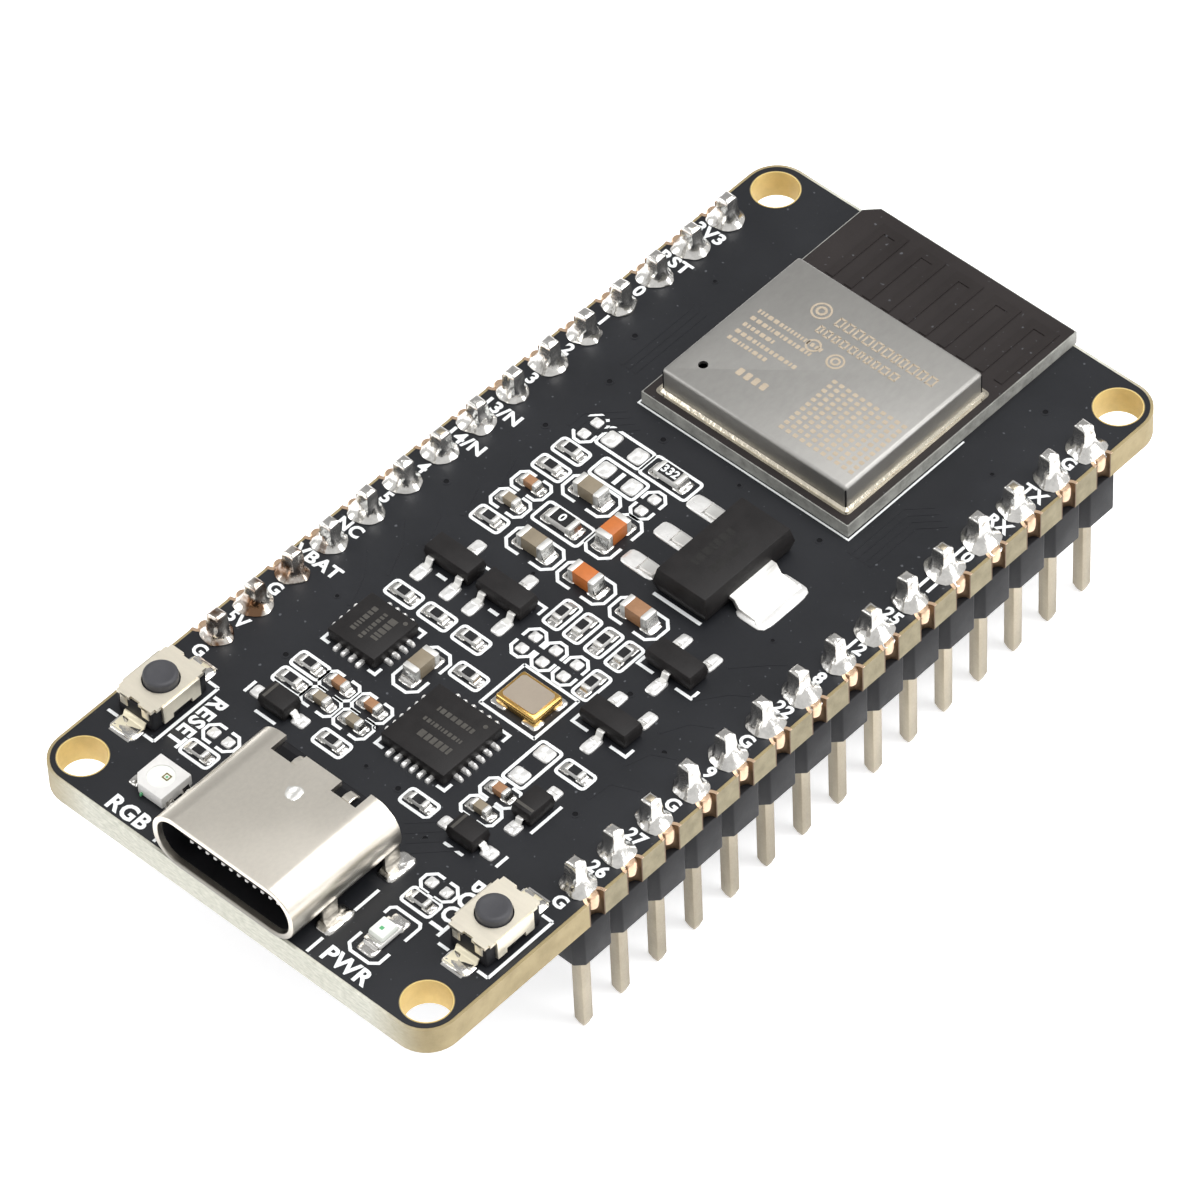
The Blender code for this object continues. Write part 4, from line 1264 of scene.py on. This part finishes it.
def button_cover(middle):
    """The folded metal cover: a notched top plate with a flange turned down on each side."""
    top = BUTTON_TOP
    plate = sheet(2.46, 3.66, 0.12, top - 0.18, top, 2)
    cutters = [drum(0.93, 0, 3, 40)]
    for x in (-1.28, 1.28):
        for y in (-1.86, 1.86):
            cutters.append(block((x - 0.16, y - 0.3, 0), (x + 0.16, y + 0.3, 3)))
    for y in (-1, 1):
        cutters.append(block((-0.3, y * 1.95 - 0.26, 0), (0.3, y * 1.95 + 0.26, 3)))
    plate = carve_each(plate, cutters)
    cover = bmesh.new()
    join(cover, plate)
    for x in (-1, 1):
        flange = block((x * 1.25 - 0.1, -1.22, 0.3), (x * 1.25 + 0.1, 1.22, top - 0.03), 0.05, 2)
        slot = block((x * 1.25 - 0.4, -0.62, 0.0), (x * 1.25 + 0.4, 0.62, 0.62))
        join(cover, carve(flange, slot))
    for y in (-1.74, 1.74):
        for x in (-0.7, 0.7):
            join(cover, block((x - 0.24, y - 0.09, 0.72), (x + 0.24, y + 0.09, top - 0.03), 0.05))
    bmesh.ops.translate(cover, vec=(middle.x, middle.y, 0), verts=cover.verts[:])
    return cover


def plunger_cap():
    """The round plunger: a foot that the cover holds in, and a slightly hollow top."""
    profile = ((0.0, 0.93), (1.0, 0.93), (1.0, 1.14), (0.87, 1.2), (0.86, 1.78), (0.84, 1.87),
               (0.78, 1.93), (0.66, 1.95), (0.58, 1.93), (0.0, 1.92))
    return turned(profile, 48)


class BOARD_OT_push_buttons(bpy.types.Operator):
    """Make the two push buttons: moulded base with terminals, folded cover and plunger"""
    bl_idname = "board.push_buttons"
    bl_label = "Push Buttons"

    def execute(self, context):
        for name in ("reset", "boot"):
            middle = node_middle(name + "_button_base")
            base = carve(block((-1.16, -1.78, 0.05), (1.16, 1.78, 1.28), 0.1), drum(1.04, 0.45, 3, 40))
            whole = bmesh.new()
            join(whole, base, 0, at(middle.x, middle.y))
            for direction in (-1, 1):
                turn = 90 * direction
                lead = ribbon(((1.5, 0.42), (1.86, 0.4), (1.98, 0.16), (2.82, 0.14)), 1.4, 0.12)
                join(whole, lead, 1, at(middle.x, middle.y, 0, turn))
                join(whole, solder_pad(1.62, 1.0), 2, at(middle.x, middle.y + 2.38 * direction, 0.02))
                foot = at(middle.x, middle.y + 2.76 * direction, 0.04, turn)
                join(whole, solder_ramp(1.3, 0.22, 0.14), 2, foot)
            looks = ["moulding", "terminal_tin", "solder"]
            finish_piece(name + "_button_body", whole, looks, [name + "_button_base"])
            finish_piece(name + "_button_plate", button_cover(middle), ["cover_sheet"],
                         [name + "_button_cover"])
            cap = bmesh.new()
            join(cap, plunger_cap(), 0, at(middle.x, middle.y))
            finish_piece(name + "_button_cap", cap, ["plunger_plastic"],
                         [name + "_button_plunger"], body=name + "_plunger", smooth=45)
            paint_node(name + "_button_dome", "spring_sheet")
        return {'FINISHED'}


# ---------------------------------------------------------------- chips and leaded parts

def text_bars(marks, rows, dice):
    """Rows of short dashes that stand for a package's marks."""
    for x, y, end, tall in rows:
        while x < end:
            wide = dice.choice((0.1, 0.16, 0.22)) * (tall / 0.26)
            join(marks, sheet(wide, tall, 0.02, 0.0, 0.008, 1, (x + wide / 2, y)))
            x += wide + 0.08


def flat_chip(node, leads, turn_marks):
    """A leadless package: moulded body, printed marks and a dome of solder at each of its leads."""
    low, high = node_box(node)
    middle = (low + high) / 2
    half = (high.x - low.x) / 2
    whole = bmesh.new()
    body = block((-half, -half, 0.06), (half, half, high.z), 0.05, 2)
    join(whole, body, 0, at(middle.x, middle.y))
    dice = random.Random(leads)
    for side in range(4):
        for index in range(leads):
            offset = (index - (leads - 1) / 2) * LEAD_PITCH
            reach = dice.uniform(0.28, 0.36)
            place = at(middle.x, middle.y, 0, side * 90) @ at(half + reach * 0.45, offset)
            join(whole, solder_pad(reach + 0.3, 0.25, 0.2), 1, place)
    marks = bmesh.new()
    rows = [(-half * 0.62, half * shift, half * reach, tall) for shift, reach, tall in
            ((0.38, 0.3, 0.42), (0.0, 0.55, 0.24), (-0.42, 0.5, 0.3))]
    text_bars(marks, rows, dice)
    join(whole, marks, 2, at(middle.x, middle.y, high.z - 0.004, turn_marks))
    spot = drum(0.12, 0.0, 0.008, 20)
    join(whole, spot, 2, at(middle.x + half * 0.72, middle.y + half * 0.72, high.z - 0.004))
    return whole


def small_transistor(node, turned_round):
    """A three-legged part: drafted body, gull-wing legs and their pads."""
    middle = node_middle(node)
    turn = 180 if turned_round else 0
    base = at(middle.x, middle.y, 0, turn)
    whole = bmesh.new()
    join(whole, tapered((2.9, 1.3), 0.1, 1.0, 0.16, 0.04, 0.55), 0, base)
    for x, direction in ((-0.95, -1), (0.95, -1), (0.0, 1)):
        place = base @ at(x, 0, 0, 90 * direction)
        lead = ribbon(((0.55, 0.5), (0.78, 0.48), (0.9, 0.2), (1.22, 0.12)), 0.42, 0.11)
        join(whole, lead, 1, place)
        join(whole, solder_pad(0.68, 1.1), 2, base @ at(x, direction * 1.38, 0.02))
        join(whole, solder_ramp(0.42, 0.5, 0.16), 2, place @ at(1.2, 0, 0.04))
    return whole


def small_diode(node, along):
    """A two-legged part with its legs folded under each end."""
    middle = node_middle(node)
    base = at(middle.x, middle.y, 0, 90 if along else 0)
    whole = bmesh.new()
    join(whole, tapered((1.7, 1.25), 0.08, 0.9, 0.14, 0.04, 0.5), 0, base)
    for turn in (0, 180):
        place = base @ at(0, 0, 0, turn)
        lead = ribbon(((0.75, 0.42), (0.98, 0.4), (1.08, 0.16), (1.4, 0.11)), 0.4, 0.11)
        join(whole, lead, 1, place)
        join(whole, solder_pad(0.8, 0.72), 2, place @ at(1.34, 0, 0.02))
        join(whole, solder_ramp(0.5, 0.26, 0.14), 2, place @ at(1.38, 0, 0.04))
    join(whole, sheet(0.16, 1.02, 0.0, 0.0, 0.008, 1), 3, base @ at(-0.52, 0, 0.898))
    return whole


def regulator():
    """The tabbed regulator: drafted body, three leads, the wide tab and their pads."""
    low, high = node_box("voltage_regulator")
    x, y = low.x + 3.05, (low.y + high.y) / 2
    whole = bmesh.new()
    join(whole, tapered((3.4, 6.3), 0.1, 1.6, 0.34, 0.05, 0.42), 0, at(x, y))
    for offset in (-2.3, 0.0, 2.3):
        place = at(x, y + offset, 0, 180)
        join(whole, ribbon(((1.55, 0.78), (1.95, 0.76), (2.25, 0.32), (3.1, 0.28)), 0.7, 0.24), 1, place)
        join(whole, solder_pad(2.1, 1.05, 0.12), 2, at(x - 3.17, y + offset, 0.02))
        join(whole, solder_ramp(0.8, 0.4, 0.26), 2, place @ at(3.08, 0, 0.06))
    tab = ribbon(((1.55, 0.78), (2.0, 0.76), (2.3, 0.3), (3.1, 0.24), (3.14, 0.2), (3.5, 0.18)), 3.0, 0.24)
    join(whole, tab, 1, at(x, y))
    join(whole, solder_pad(2.0, 3.5), 2, at(x + 3.03, y, 0.02))
    join(whole, solder_ramp(3.1, 0.45, 0.22), 2, at(x + 3.36, y, 0.04))
    marks = bmesh.new()
    text_bars(marks, ((-1.6, 0.45, 1.2, 0.5), (-1.4, -0.5, 0.9, 0.5)), random.Random(3))
    join(whole, marks, 3, at(x, y, 1.596, 90))
    return whole


def crystal_can():
    """The crystal: gold-plated base, metal lid and a pad under each corner."""
    low, high = node_box("hub_crystal")
    x, y = (low.x + high.x) / 2, (low.y + high.y) / 2
    can = bmesh.new()
    base = block((low.x, low.y, 0.07), (high.x, high.y, 0.54), 0.13, 3, lambda place, edge: place.z > 0.1)
    join(can, base)
    lid = sheet(high.x - low.x - 0.42, high.y - low.y - 0.42, 0.22, 0.5, high.z, 5, (x, y))
    join(can, lid, 1)
    for across in (-0.98, 0.98):
        for along in (-0.8, 0.8):
            join(can, solder_pad(0.95, 0.8, 0.09), 2, at(x + across, y + along, 0.02))
    return can


class BOARD_OT_chips(bpy.types.Operator):
    """Make the regulator, the two leadless chips, the transistors, the diodes and the crystal"""
    bl_idname = "board.chips"
    bl_label = "Chips"

    def execute(self, context):
        legged = ["package", "tin", "pad_tin", "chip_mark"]
        flat = ["package", "pad_tin", "chip_mark"]
        for node, leads, turn in (("usb_serial_chip", 4, -90), ("usb_hub_chip", 6, 180)):
            finish_piece(node + "_package", flat_chip(node, leads, turn), flat, [node])
        for letter in "abcd":
            node = "transistor_" + letter
            part = small_transistor(node, letter in TURNED_TRANSISTORS)
            finish_piece(node + "_package", part, legged, [node])
        for letter in "abc":
            node = "diode_" + letter
            finish_piece(node + "_package", small_diode(node, letter == "a"), legged, [node])

        looks = ["package", "tin", "pad_tin", "faint_mark"]
        finish_piece("voltage_regulator_package", regulator(), looks, ["voltage_regulator"])
        looks = ["gold_plate", "crystal_top", "solder"]
        finish_piece("hub_crystal_can", crystal_can(), looks, ["hub_crystal"])
        return {'FINISHED'}


# ---------------------------------------------------------------- lamps and small parts

class BOARD_OT_lamps(bpy.types.Operator):
    """Make the colour lamp and the power lamp"""
    bl_idname = "board.lamps"
    bl_label = "Lamps"

    def execute(self, context):
        middle = node_middle("rgb_led")
        centre = at(middle.x, middle.y)
        lamp = bmesh.new()
        window = turned(((0.0, 0.7), (0.66, 0.7), (0.72, 0.9), (0.0, 0.9)), 36)
        body = block((-1.0, -1.0, 0.08), (1.0, 1.0, 0.8), 0.06)
        join(lamp, carve_each(body, (diamond_post(-1.0, -1.0, 0.32), window)), 0, centre)
        join(lamp, turned(((0.0, 0.6), (0.68, 0.6), (0.69, 0.75), (0.0, 0.77)), 36), 1, centre)
        die = centre @ at(0.22, 0.16)
        join(lamp, frame_line(0.36, 0.36, 0.02, 0.06, 0.76, 0.785), 2, die)
        join(lamp, block((-0.06, -0.06, 0.75), (0.06, 0.06, 0.79), 0.02, 1), 3, die)
        join(lamp, block((-0.05, -0.12, 0.12), (0.05, 0.12, 0.3), 0.02, 1), 3, centre @ at(-0.3, -1.02))
        for direction, turn in ((-1, 180), (1, 0)):
            for y in (-0.55, 0.55):
                join(lamp, solder_pad(0.6, 0.62, 0.12), 4, centre @ at(1.12 * direction, y, 0.02))
                join(lamp, solder_ramp(0.42, 0.24, 0.3), 4, centre @ at(direction, y, 0.04, turn))
        looks = ["white_ceramic", "lens_resin", "die_amber", "die_green", "solder"]
        finish_piece("rgb_lamp", lamp, looks, ["rgb_led"])

        middle = node_middle("power_led")
        centre = at(middle.x, middle.y)
        lamp = bmesh.new()
        join(lamp, block((-0.5, -0.8, 0.1), (0.5, 0.8, 0.34), 0.04), 0, centre)
        join(lamp, tapered((0.94, 1.12), 0.3, 0.7, 0.1, 0.06, 0.3), 1, centre)
        join(lamp, block((-0.12, -0.12, 0.66), (0.12, 0.12, 0.705), 0.03, 1), 2, centre @ at(0, -0.08))
        for direction in (-1, 1):
            turn = 90 * direction
            join(lamp, block((0.6, -0.48, 0.08), (0.84, 0.48, 0.38), 0.05), 3, centre @ at(0, 0, 0, turn))
            join(lamp, solder_pad(1.05, 0.8, 0.12), 3, centre @ at(0, 0.96 * direction, 0.02))
            join(lamp, solder_ramp(0.86, 0.34, 0.28), 3, centre @ at(0, 0.82 * direction, 0.04, turn))
        looks = ["white_ceramic", "lens_resin", "die_green", "solder"]
        finish_piece("power_lamp", lamp, looks, ["power_led"])
        return {'FINISHED'}


def end_part(long, wide, tall, cap, glaze):
    """A block-shaped part with metal caps at its ends, soldered to two pads.

    Looks in order: body, caps, solder, and the glaze on top when there is one.
    """
    whole = bmesh.new()
    half = long / 2
    side = wide / 2 - 0.015
    join(whole, block((0.04 - half, -side, 0.05), (half - 0.04, side, tall - 0.015), 0.025))
    if glaze:
        join(whole, sheet(long - 2 * cap + 0.04, wide - 0.06, 0.03, tall - 0.02, tall + 0.012, 2), 3)
    bevel = min(0.07, cap * 0.3)
    for turn in (0, 180):
        place = at(0, 0, 0, turn)
        join(whole, block((half - cap, -wide / 2, 0.05), (half, wide / 2, tall), bevel, 3), 1, place)
        climb = solder_ramp(wide * 0.92, 0.2 + wide * 0.12, tall * 0.78)
        join(whole, climb, 2, place @ at(half - 0.02, 0, 0.03))
        pad = solder_pad(cap + 0.38 + wide * 0.1, wide + 0.12, 0.08)
        join(whole, pad, 2, place @ at(half - cap / 2 + 0.14, 0, 0.015))
    return whole


def place_parts(kind, rows):
    """Finish a row of like parts, each given as its shape, its place, its turn and its looks."""
    for number, (part, place, turn, looks) in enumerate(rows, 1):
        finish_piece(f"{kind}_{number:02d}", moved(part, at(*place, 0, turn)), looks)


class BOARD_OT_small_parts(bpy.types.Operator):
    """Make the resistors, the capacitors and the empty pads"""
    bl_idname = "board.small_parts"
    bl_label = "Resistors and Capacitors"

    def execute(self, context):
        looks = ["white_ceramic", "tin", "solder", "resistor_glaze"]
        spots = [(place, 0) for place in SMALL_RESISTORS_ACROSS]
        spots += [(place, 90) for place in SMALL_RESISTORS_ALONG]
        place_parts("small_resistor", [
            (end_part(1.0, 0.5, 0.36, 0.24, True), place, turn, looks) for place, turn in spots])
        tints = ("brown_ceramic", "tan_ceramic")
        place_parts("small_capacitor", [
            (end_part(1.0, 0.52, 0.5, 0.25, False), place, 0, [tints[index % 2], "tin", "solder"])
            for index, place in enumerate(SMALL_CAPACITORS)])
        coded = []
        for place, code in LARGE_RESISTORS:
            part = end_part(1.6, 0.82, 0.5, 0.3, True)
            join(part, lettering(code, 0.5, 0.51, 0.518, 0.03), 4)
            coded.append((part, place, 0, looks + ["ink"]))
        place_parts("large_resistor", coded)
        place_parts("large_capacitor", [
            (end_part(1.65, 0.86, 0.86, 0.36, False), place, turn, [tint, "tin", "solder"])
            for place, turn, tint in LARGE_CAPACITORS])
        pads = bmesh.new()
        bare = [(place, 90, 0.46, (0.56, 0.58, 0.13)) for place in EMPTY_SMALL_ALONG]
        bare += [(place, 0, 0.46, (0.56, 0.58, 0.13)) for place in EMPTY_SMALL_ACROSS]
        bare += [(place, turn, 0.85, (0.86, 0.95, 0.14)) for place, turn in EMPTY_LARGE]
        for (x, y), turn, shift, pad in bare:
            for side in (-1, 1):
                join(pads, solder_pad(*pad), 0, at(x, y, 0.02, turn) @ at(shift * side, 0))
        finish_piece("empty_pads", pads, ["pad_tin"])
        return {'FINISHED'}


# ---------------------------------------------------------------- printed legend

class Printer:
    """Collects printed lines and words at one height on the mask."""

    def __init__(self, low, line, tall):
        self.bm = bmesh.new()
        self.low = low
        self.high = low + INK_TALL
        self.line = line
        self.tall = tall

    def box(self, x, y, wide, deep, turn=0, corner=0.26):
        outline = frame_line(wide, deep, corner, self.line, self.low, self.high)
        join(self.bm, outline, 0, at(x, y, 0, turn))

    def path(self, points, x=0.0, y=0.0, turn=0, line=None):
        join(self.bm, stroke(points, line or self.line, self.low, self.high), 0, at(x, y, 0, turn))

    def brackets(self, x, y, half, deep, gap, turn=0, corner=0.28):
        for side in (0, 180):
            shape = ((gap, deep), (half - corner, deep), (half, deep - corner), (half, corner - deep),
                     (half - corner, -deep), (gap, -deep))
            self.path(shape, x, y, turn + side)

    def words(self, text, x, y, turn=0, stretch=1.0, spacing=1.06, size=1.0):
        shape = lettering(text, self.tall * size, self.low, self.high, 0.034, stretch, spacing)
        join(self.bm, shape, 0, at(x, y, 0, turn))


def print_pin_labels(printer):
    for side, labels in (("left", LEFT_LABELS), ("right", RIGHT_LABELS)):
        for pin, label in zip(pin_places(side), labels):
            edge = 11.6 if side == "right" else -11.45
            shift = max(0, len(label) - 3) * 0.35
            stretch = 1.12 if len(label) > 2 else 1.0
            printer.words(label, edge + shift, pin.y - PITCH / 2, 0, stretch, size=1.05)


def print_part_outlines(printer):
    for x, y in SMALL_RESISTORS_ACROSS:
        printer.box(x, y, 1.95, 1.15)
    for x, y in SMALL_RESISTORS_ALONG:
        printer.box(x, y, 1.95, 1.15, 90)
    for x, y in SMALL_CAPACITORS:
        printer.brackets(x, y, 1.0, 0.6, 0.22)
    for x, y in EMPTY_SMALL_ALONG:
        printer.brackets(x, y, 0.98, 0.56, 0.16, 90, 0.36)
    for x, y in EMPTY_SMALL_ACROSS:
        printer.brackets(x, y, 0.98, 0.56, 0.16, 0, 0.36)
    for (x, y), _ in LARGE_RESISTORS:
        printer.box(x, y, 3.1, 1.55)
    for (x, y), turn in EMPTY_LARGE:
        printer.box(x, y, 3.0, 1.45, turn)
    (x, y), _ = EMPTY_LARGE[1]
    printer.path(((0, -0.42), (0, 0.42)), x, y, 0, 0.24)
    for (x, y), turn, _ in LARGE_CAPACITORS:
        printer.brackets(x, y, 1.5, 0.8, 0.35, turn, 0.4)


def print_chip_outlines(printer):
    for node, arm in (("usb_serial_chip", 0.45), ("usb_hub_chip", 0.5)):
        low, high = node_box(node)
        middle = (low + high) / 2
        reach = (high.x - low.x) / 2 + 0.2
        corner = ((reach - arm, reach), (reach, reach), (reach, reach - arm))
        for turn in (0, 90, 180, 270):
            printer.path(corner, middle.x, middle.y, turn)
    for letter in "abcd":
        middle = node_middle("transistor_" + letter)
        turn = 180 if letter in TURNED_TRANSISTORS else 0
        printer.path(((-0.3, -0.95), (0.3, -0.95)), middle.x, middle.y, turn, 0.2)
        printer.path(((0.7, 0.86), (1.68, 0.86), (1.68, 0.3)), middle.x, middle.y, turn)
        printer.path(((-0.7, 0.86), (-1.68, 0.86), (-1.68, 0.3)), middle.x, middle.y, turn)
    diode_bars = (((7.85, -11.7), (7.85, -13.8)), ((5.2, -16.8), (6.4, -16.8)), ((8.0, -15.5), (8.0, -16.3)),
                  ((-6.9, -16.8), (-5.6, -16.8)), ((-8.1, -15.5), (-8.1, -16.3)))
    for bar in diode_bars:
        printer.path(bar)
    printer.box(2.38, -8.03, 3.6, 3.2, 0, 0.05)
    printer.path(((2.2, 0.72), (5.2, 0.72)), line=0.2)
    printer.path(((-6.52, 17.5), (-6.52, 9.2), (6.92, 9.2), (6.92, 17.5)), line=0.1)


def print_socket_and_buttons(printer):
    printer.path(((4.9, -20.8), (4.9, -22.4)))
    for x in (4.9, -4.9):
        printer.path(((x, -24.5), (x, -25.55)))
    for name, edge in (("boot", 1.55), ("reset", 1.5)):
        middle = node_middle(name + "_button_base")
        for y in (-2.15, 2.15):
            printer.path(((edge, y), (edge - 0.65, y)), middle.x, middle.y)
            printer.path(((-edge, y), (-edge + 0.65, y)), middle.x, middle.y)
        printer.path(((edge, -2.15), (edge, 2.15)), middle.x, middle.y)
    printer.words("RESET", -8.45, -19.1, -90, 1.0, 1.15, 1.25)
    printer.words("BOOT", 8.4, -19.15, -90, 1.0, 1.1, 1.3)
    printer.words("RGB", -7.0, -25.05, 0, size=1.3)
    printer.words("PWR", 6.85, -24.95, 0, size=1.3)
    printer.path(((6.0, -23.1), (6.0, -23.9), (6.35, -24.2), (7.5, -24.2), (7.86, -23.9), (7.86, -23.2)))
    printer.path(((6.0, -21.6), (6.0, -21.2), (6.2, -21.0), (7.7, -21.0), (7.86, -21.2), (7.86, -22.2)))


class BOARD_OT_legend(bpy.types.Operator):
    """Print the white outlines round the parts and the plain names beside pins and buttons"""
    bl_idname = "board.legend"
    bl_label = "Printed Legend"

    def execute(self, context):
        size = sizes()
        printer = Printer(size["mask_tall"] - 0.002, size["ink_line"], size["label_tall"])
        print_pin_labels(printer)
        print_part_outlines(printer)
        print_chip_outlines(printer)
        print_socket_and_buttons(printer)
        finish_piece("printed_legend", printer.bm, ["ink"])
        return {'FINISHED'}


# ---------------------------------------------------------------- stage

def camera_axes(stage):
    """The camera's right, up and back directions."""
    azimuth, elevation, roll = stage.azimuth, stage.elevation, stage.roll
    back = Vector((math.sin(azimuth) * math.cos(elevation), -math.cos(azimuth) * math.cos(elevation),
                   math.sin(elevation)))
    right = Vector((math.cos(azimuth), math.sin(azimuth), 0.0))
    up = back.cross(right)
    return right * math.cos(roll) + up * math.sin(roll), up * math.cos(roll) - right * math.sin(roll), back


def soft_light(name, place, aim, wide, deep, power):
    """A large soft light that hangs at a place and faces a point."""
    data = bpy.data.lights.new(name, 'AREA')
    data.shape = 'RECTANGLE'
    data.size = wide
    data.size_y = deep
    data.energy = power
    light = bpy.data.objects.new(name, data)
    facing = (Vector(aim) - Vector(place)).to_track_quat('-Z', 'Y')
    light.matrix_world = Matrix.Translation(place) @ facing.to_matrix().to_4x4()
    bpy.context.scene.collection.objects.link(light)


def studio_world(stage):
    """Even pale surroundings, darker high up beyond the far left where a black card hangs."""
    world = bpy.data.worlds.new("studio")
    world.use_nodes = True
    tree = world.node_tree
    tree.nodes.clear()
    place = tree.nodes.new('ShaderNodeTexCoord').outputs["Generated"]
    towards = tree.nodes.new('ShaderNodeVectorMath')
    towards.operation = 'DOT_PRODUCT'
    towards.inputs[1].default_value = DARK_CARD
    tree.links.new(place, towards.inputs[0])
    level = range_node(tree, towards.outputs["Value"], 0.55, 0.98, stage.fill, stage.fill * stage.shade_share)
    background = tree.nodes.new('ShaderNodeBackground')
    background.inputs["Color"].default_value = (1.0, 1.0, 1.0, 1.0)
    tree.links.new(level, background.inputs["Strength"])
    output = tree.nodes.new('ShaderNodeOutputWorld')
    tree.links.new(background.outputs["Background"], output.inputs["Surface"])
    return world


class BOARD_OT_stage(bpy.types.Operator):
    """Set up the floor, the soft lights and the camera"""
    bl_idname = "board.stage"
    bl_label = "Stage"

    def execute(self, context):
        scene = context.scene
        stage = scene.board_stage
        floor = to_object("floor", sheet(FLOOR_WIDE, FLOOR_WIDE, 40, -1.0, 0.0, 3), ["floor_sheet"])
        camera_data = bpy.data.cameras.new("camera")
        camera_data.lens = stage.lens
        camera_data.sensor_width = 36.0
        camera_data.clip_start = 0.01
        camera_data.clip_end = 10.0
        camera = bpy.data.objects.new("camera", camera_data)
        across, up, back = camera_axes(stage)
        aim = Vector((stage.aim_across, -stage.aim_back, TOP * MM))
        turn = Matrix((across, up, back)).transposed().to_4x4()
        camera.matrix_world = Matrix.Translation(aim + back * stage.distance) @ turn
        scene.collection.objects.link(camera)
        scene.camera = camera
        scene.world = studio_world(stage)
        scene.view_settings.view_transform = 'Standard'
        soft_light("overhead", (0.10, 0.12, 0.55), (0, 0, 0), 0.5, 0.4, stage.key_power)
        soft_light("right_side", (0.50, 0.30, 0.28), (0, 0, 0.01), 0.3, 0.3, stage.key_power * 0.5)
        soft_light("left_side", (-0.45, -0.35, 0.35), (0, 0, 0.01), 0.3, 0.3, stage.key_power * 0.3)
        return {'FINISHED'}


# ---------------------------------------------------------------- panel

OPERATORS = (
    BOARD_OT_laminate, BOARD_OT_edge_plating, BOARD_OT_header_strips, BOARD_OT_header_pins,
    BOARD_OT_radio_module, BOARD_OT_usb_socket, BOARD_OT_push_buttons, BOARD_OT_chips, BOARD_OT_lamps,
    BOARD_OT_small_parts, BOARD_OT_legend, BOARD_OT_stage,
)
GROUPS = (("board_sizes", BoardSizes), ("board_colours", BoardColours), ("board_stage", StageSettings))


class BOARD_PT_pieces(bpy.types.Panel):
    bl_label = "Development Board"
    bl_idname = "BOARD_PT_pieces"
    bl_space_type = 'VIEW_3D'
    bl_region_type = 'UI'
    bl_category = "Board"

    def draw(self, context):
        layout = self.layout
        for operator in OPERATORS:
            layout.operator(operator.bl_idname)
        for name, group in GROUPS:
            settings = getattr(context.scene, name)
            box = layout.box()
            for key in group.__annotations__:
                box.prop(settings, key)


def register():
    for name, group in GROUPS:
        bpy.utils.register_class(group)
        setattr(bpy.types.Scene, name, bpy.props.PointerProperty(type=group))
    for entry in (*OPERATORS, BOARD_PT_pieces):
        bpy.utils.register_class(entry)


def unregister():
    for entry in reversed((*OPERATORS, BOARD_PT_pieces)):
        bpy.utils.unregister_class(entry)
    for name, group in reversed(GROUPS):
        delattr(bpy.types.Scene, name)
        bpy.utils.unregister_class(group)


def main():
    register()
    for operator in OPERATORS:
        _, name = operator.bl_idname.split(".")
        getattr(bpy.ops.board, name)()


if __name__ == "__main__":
    main()
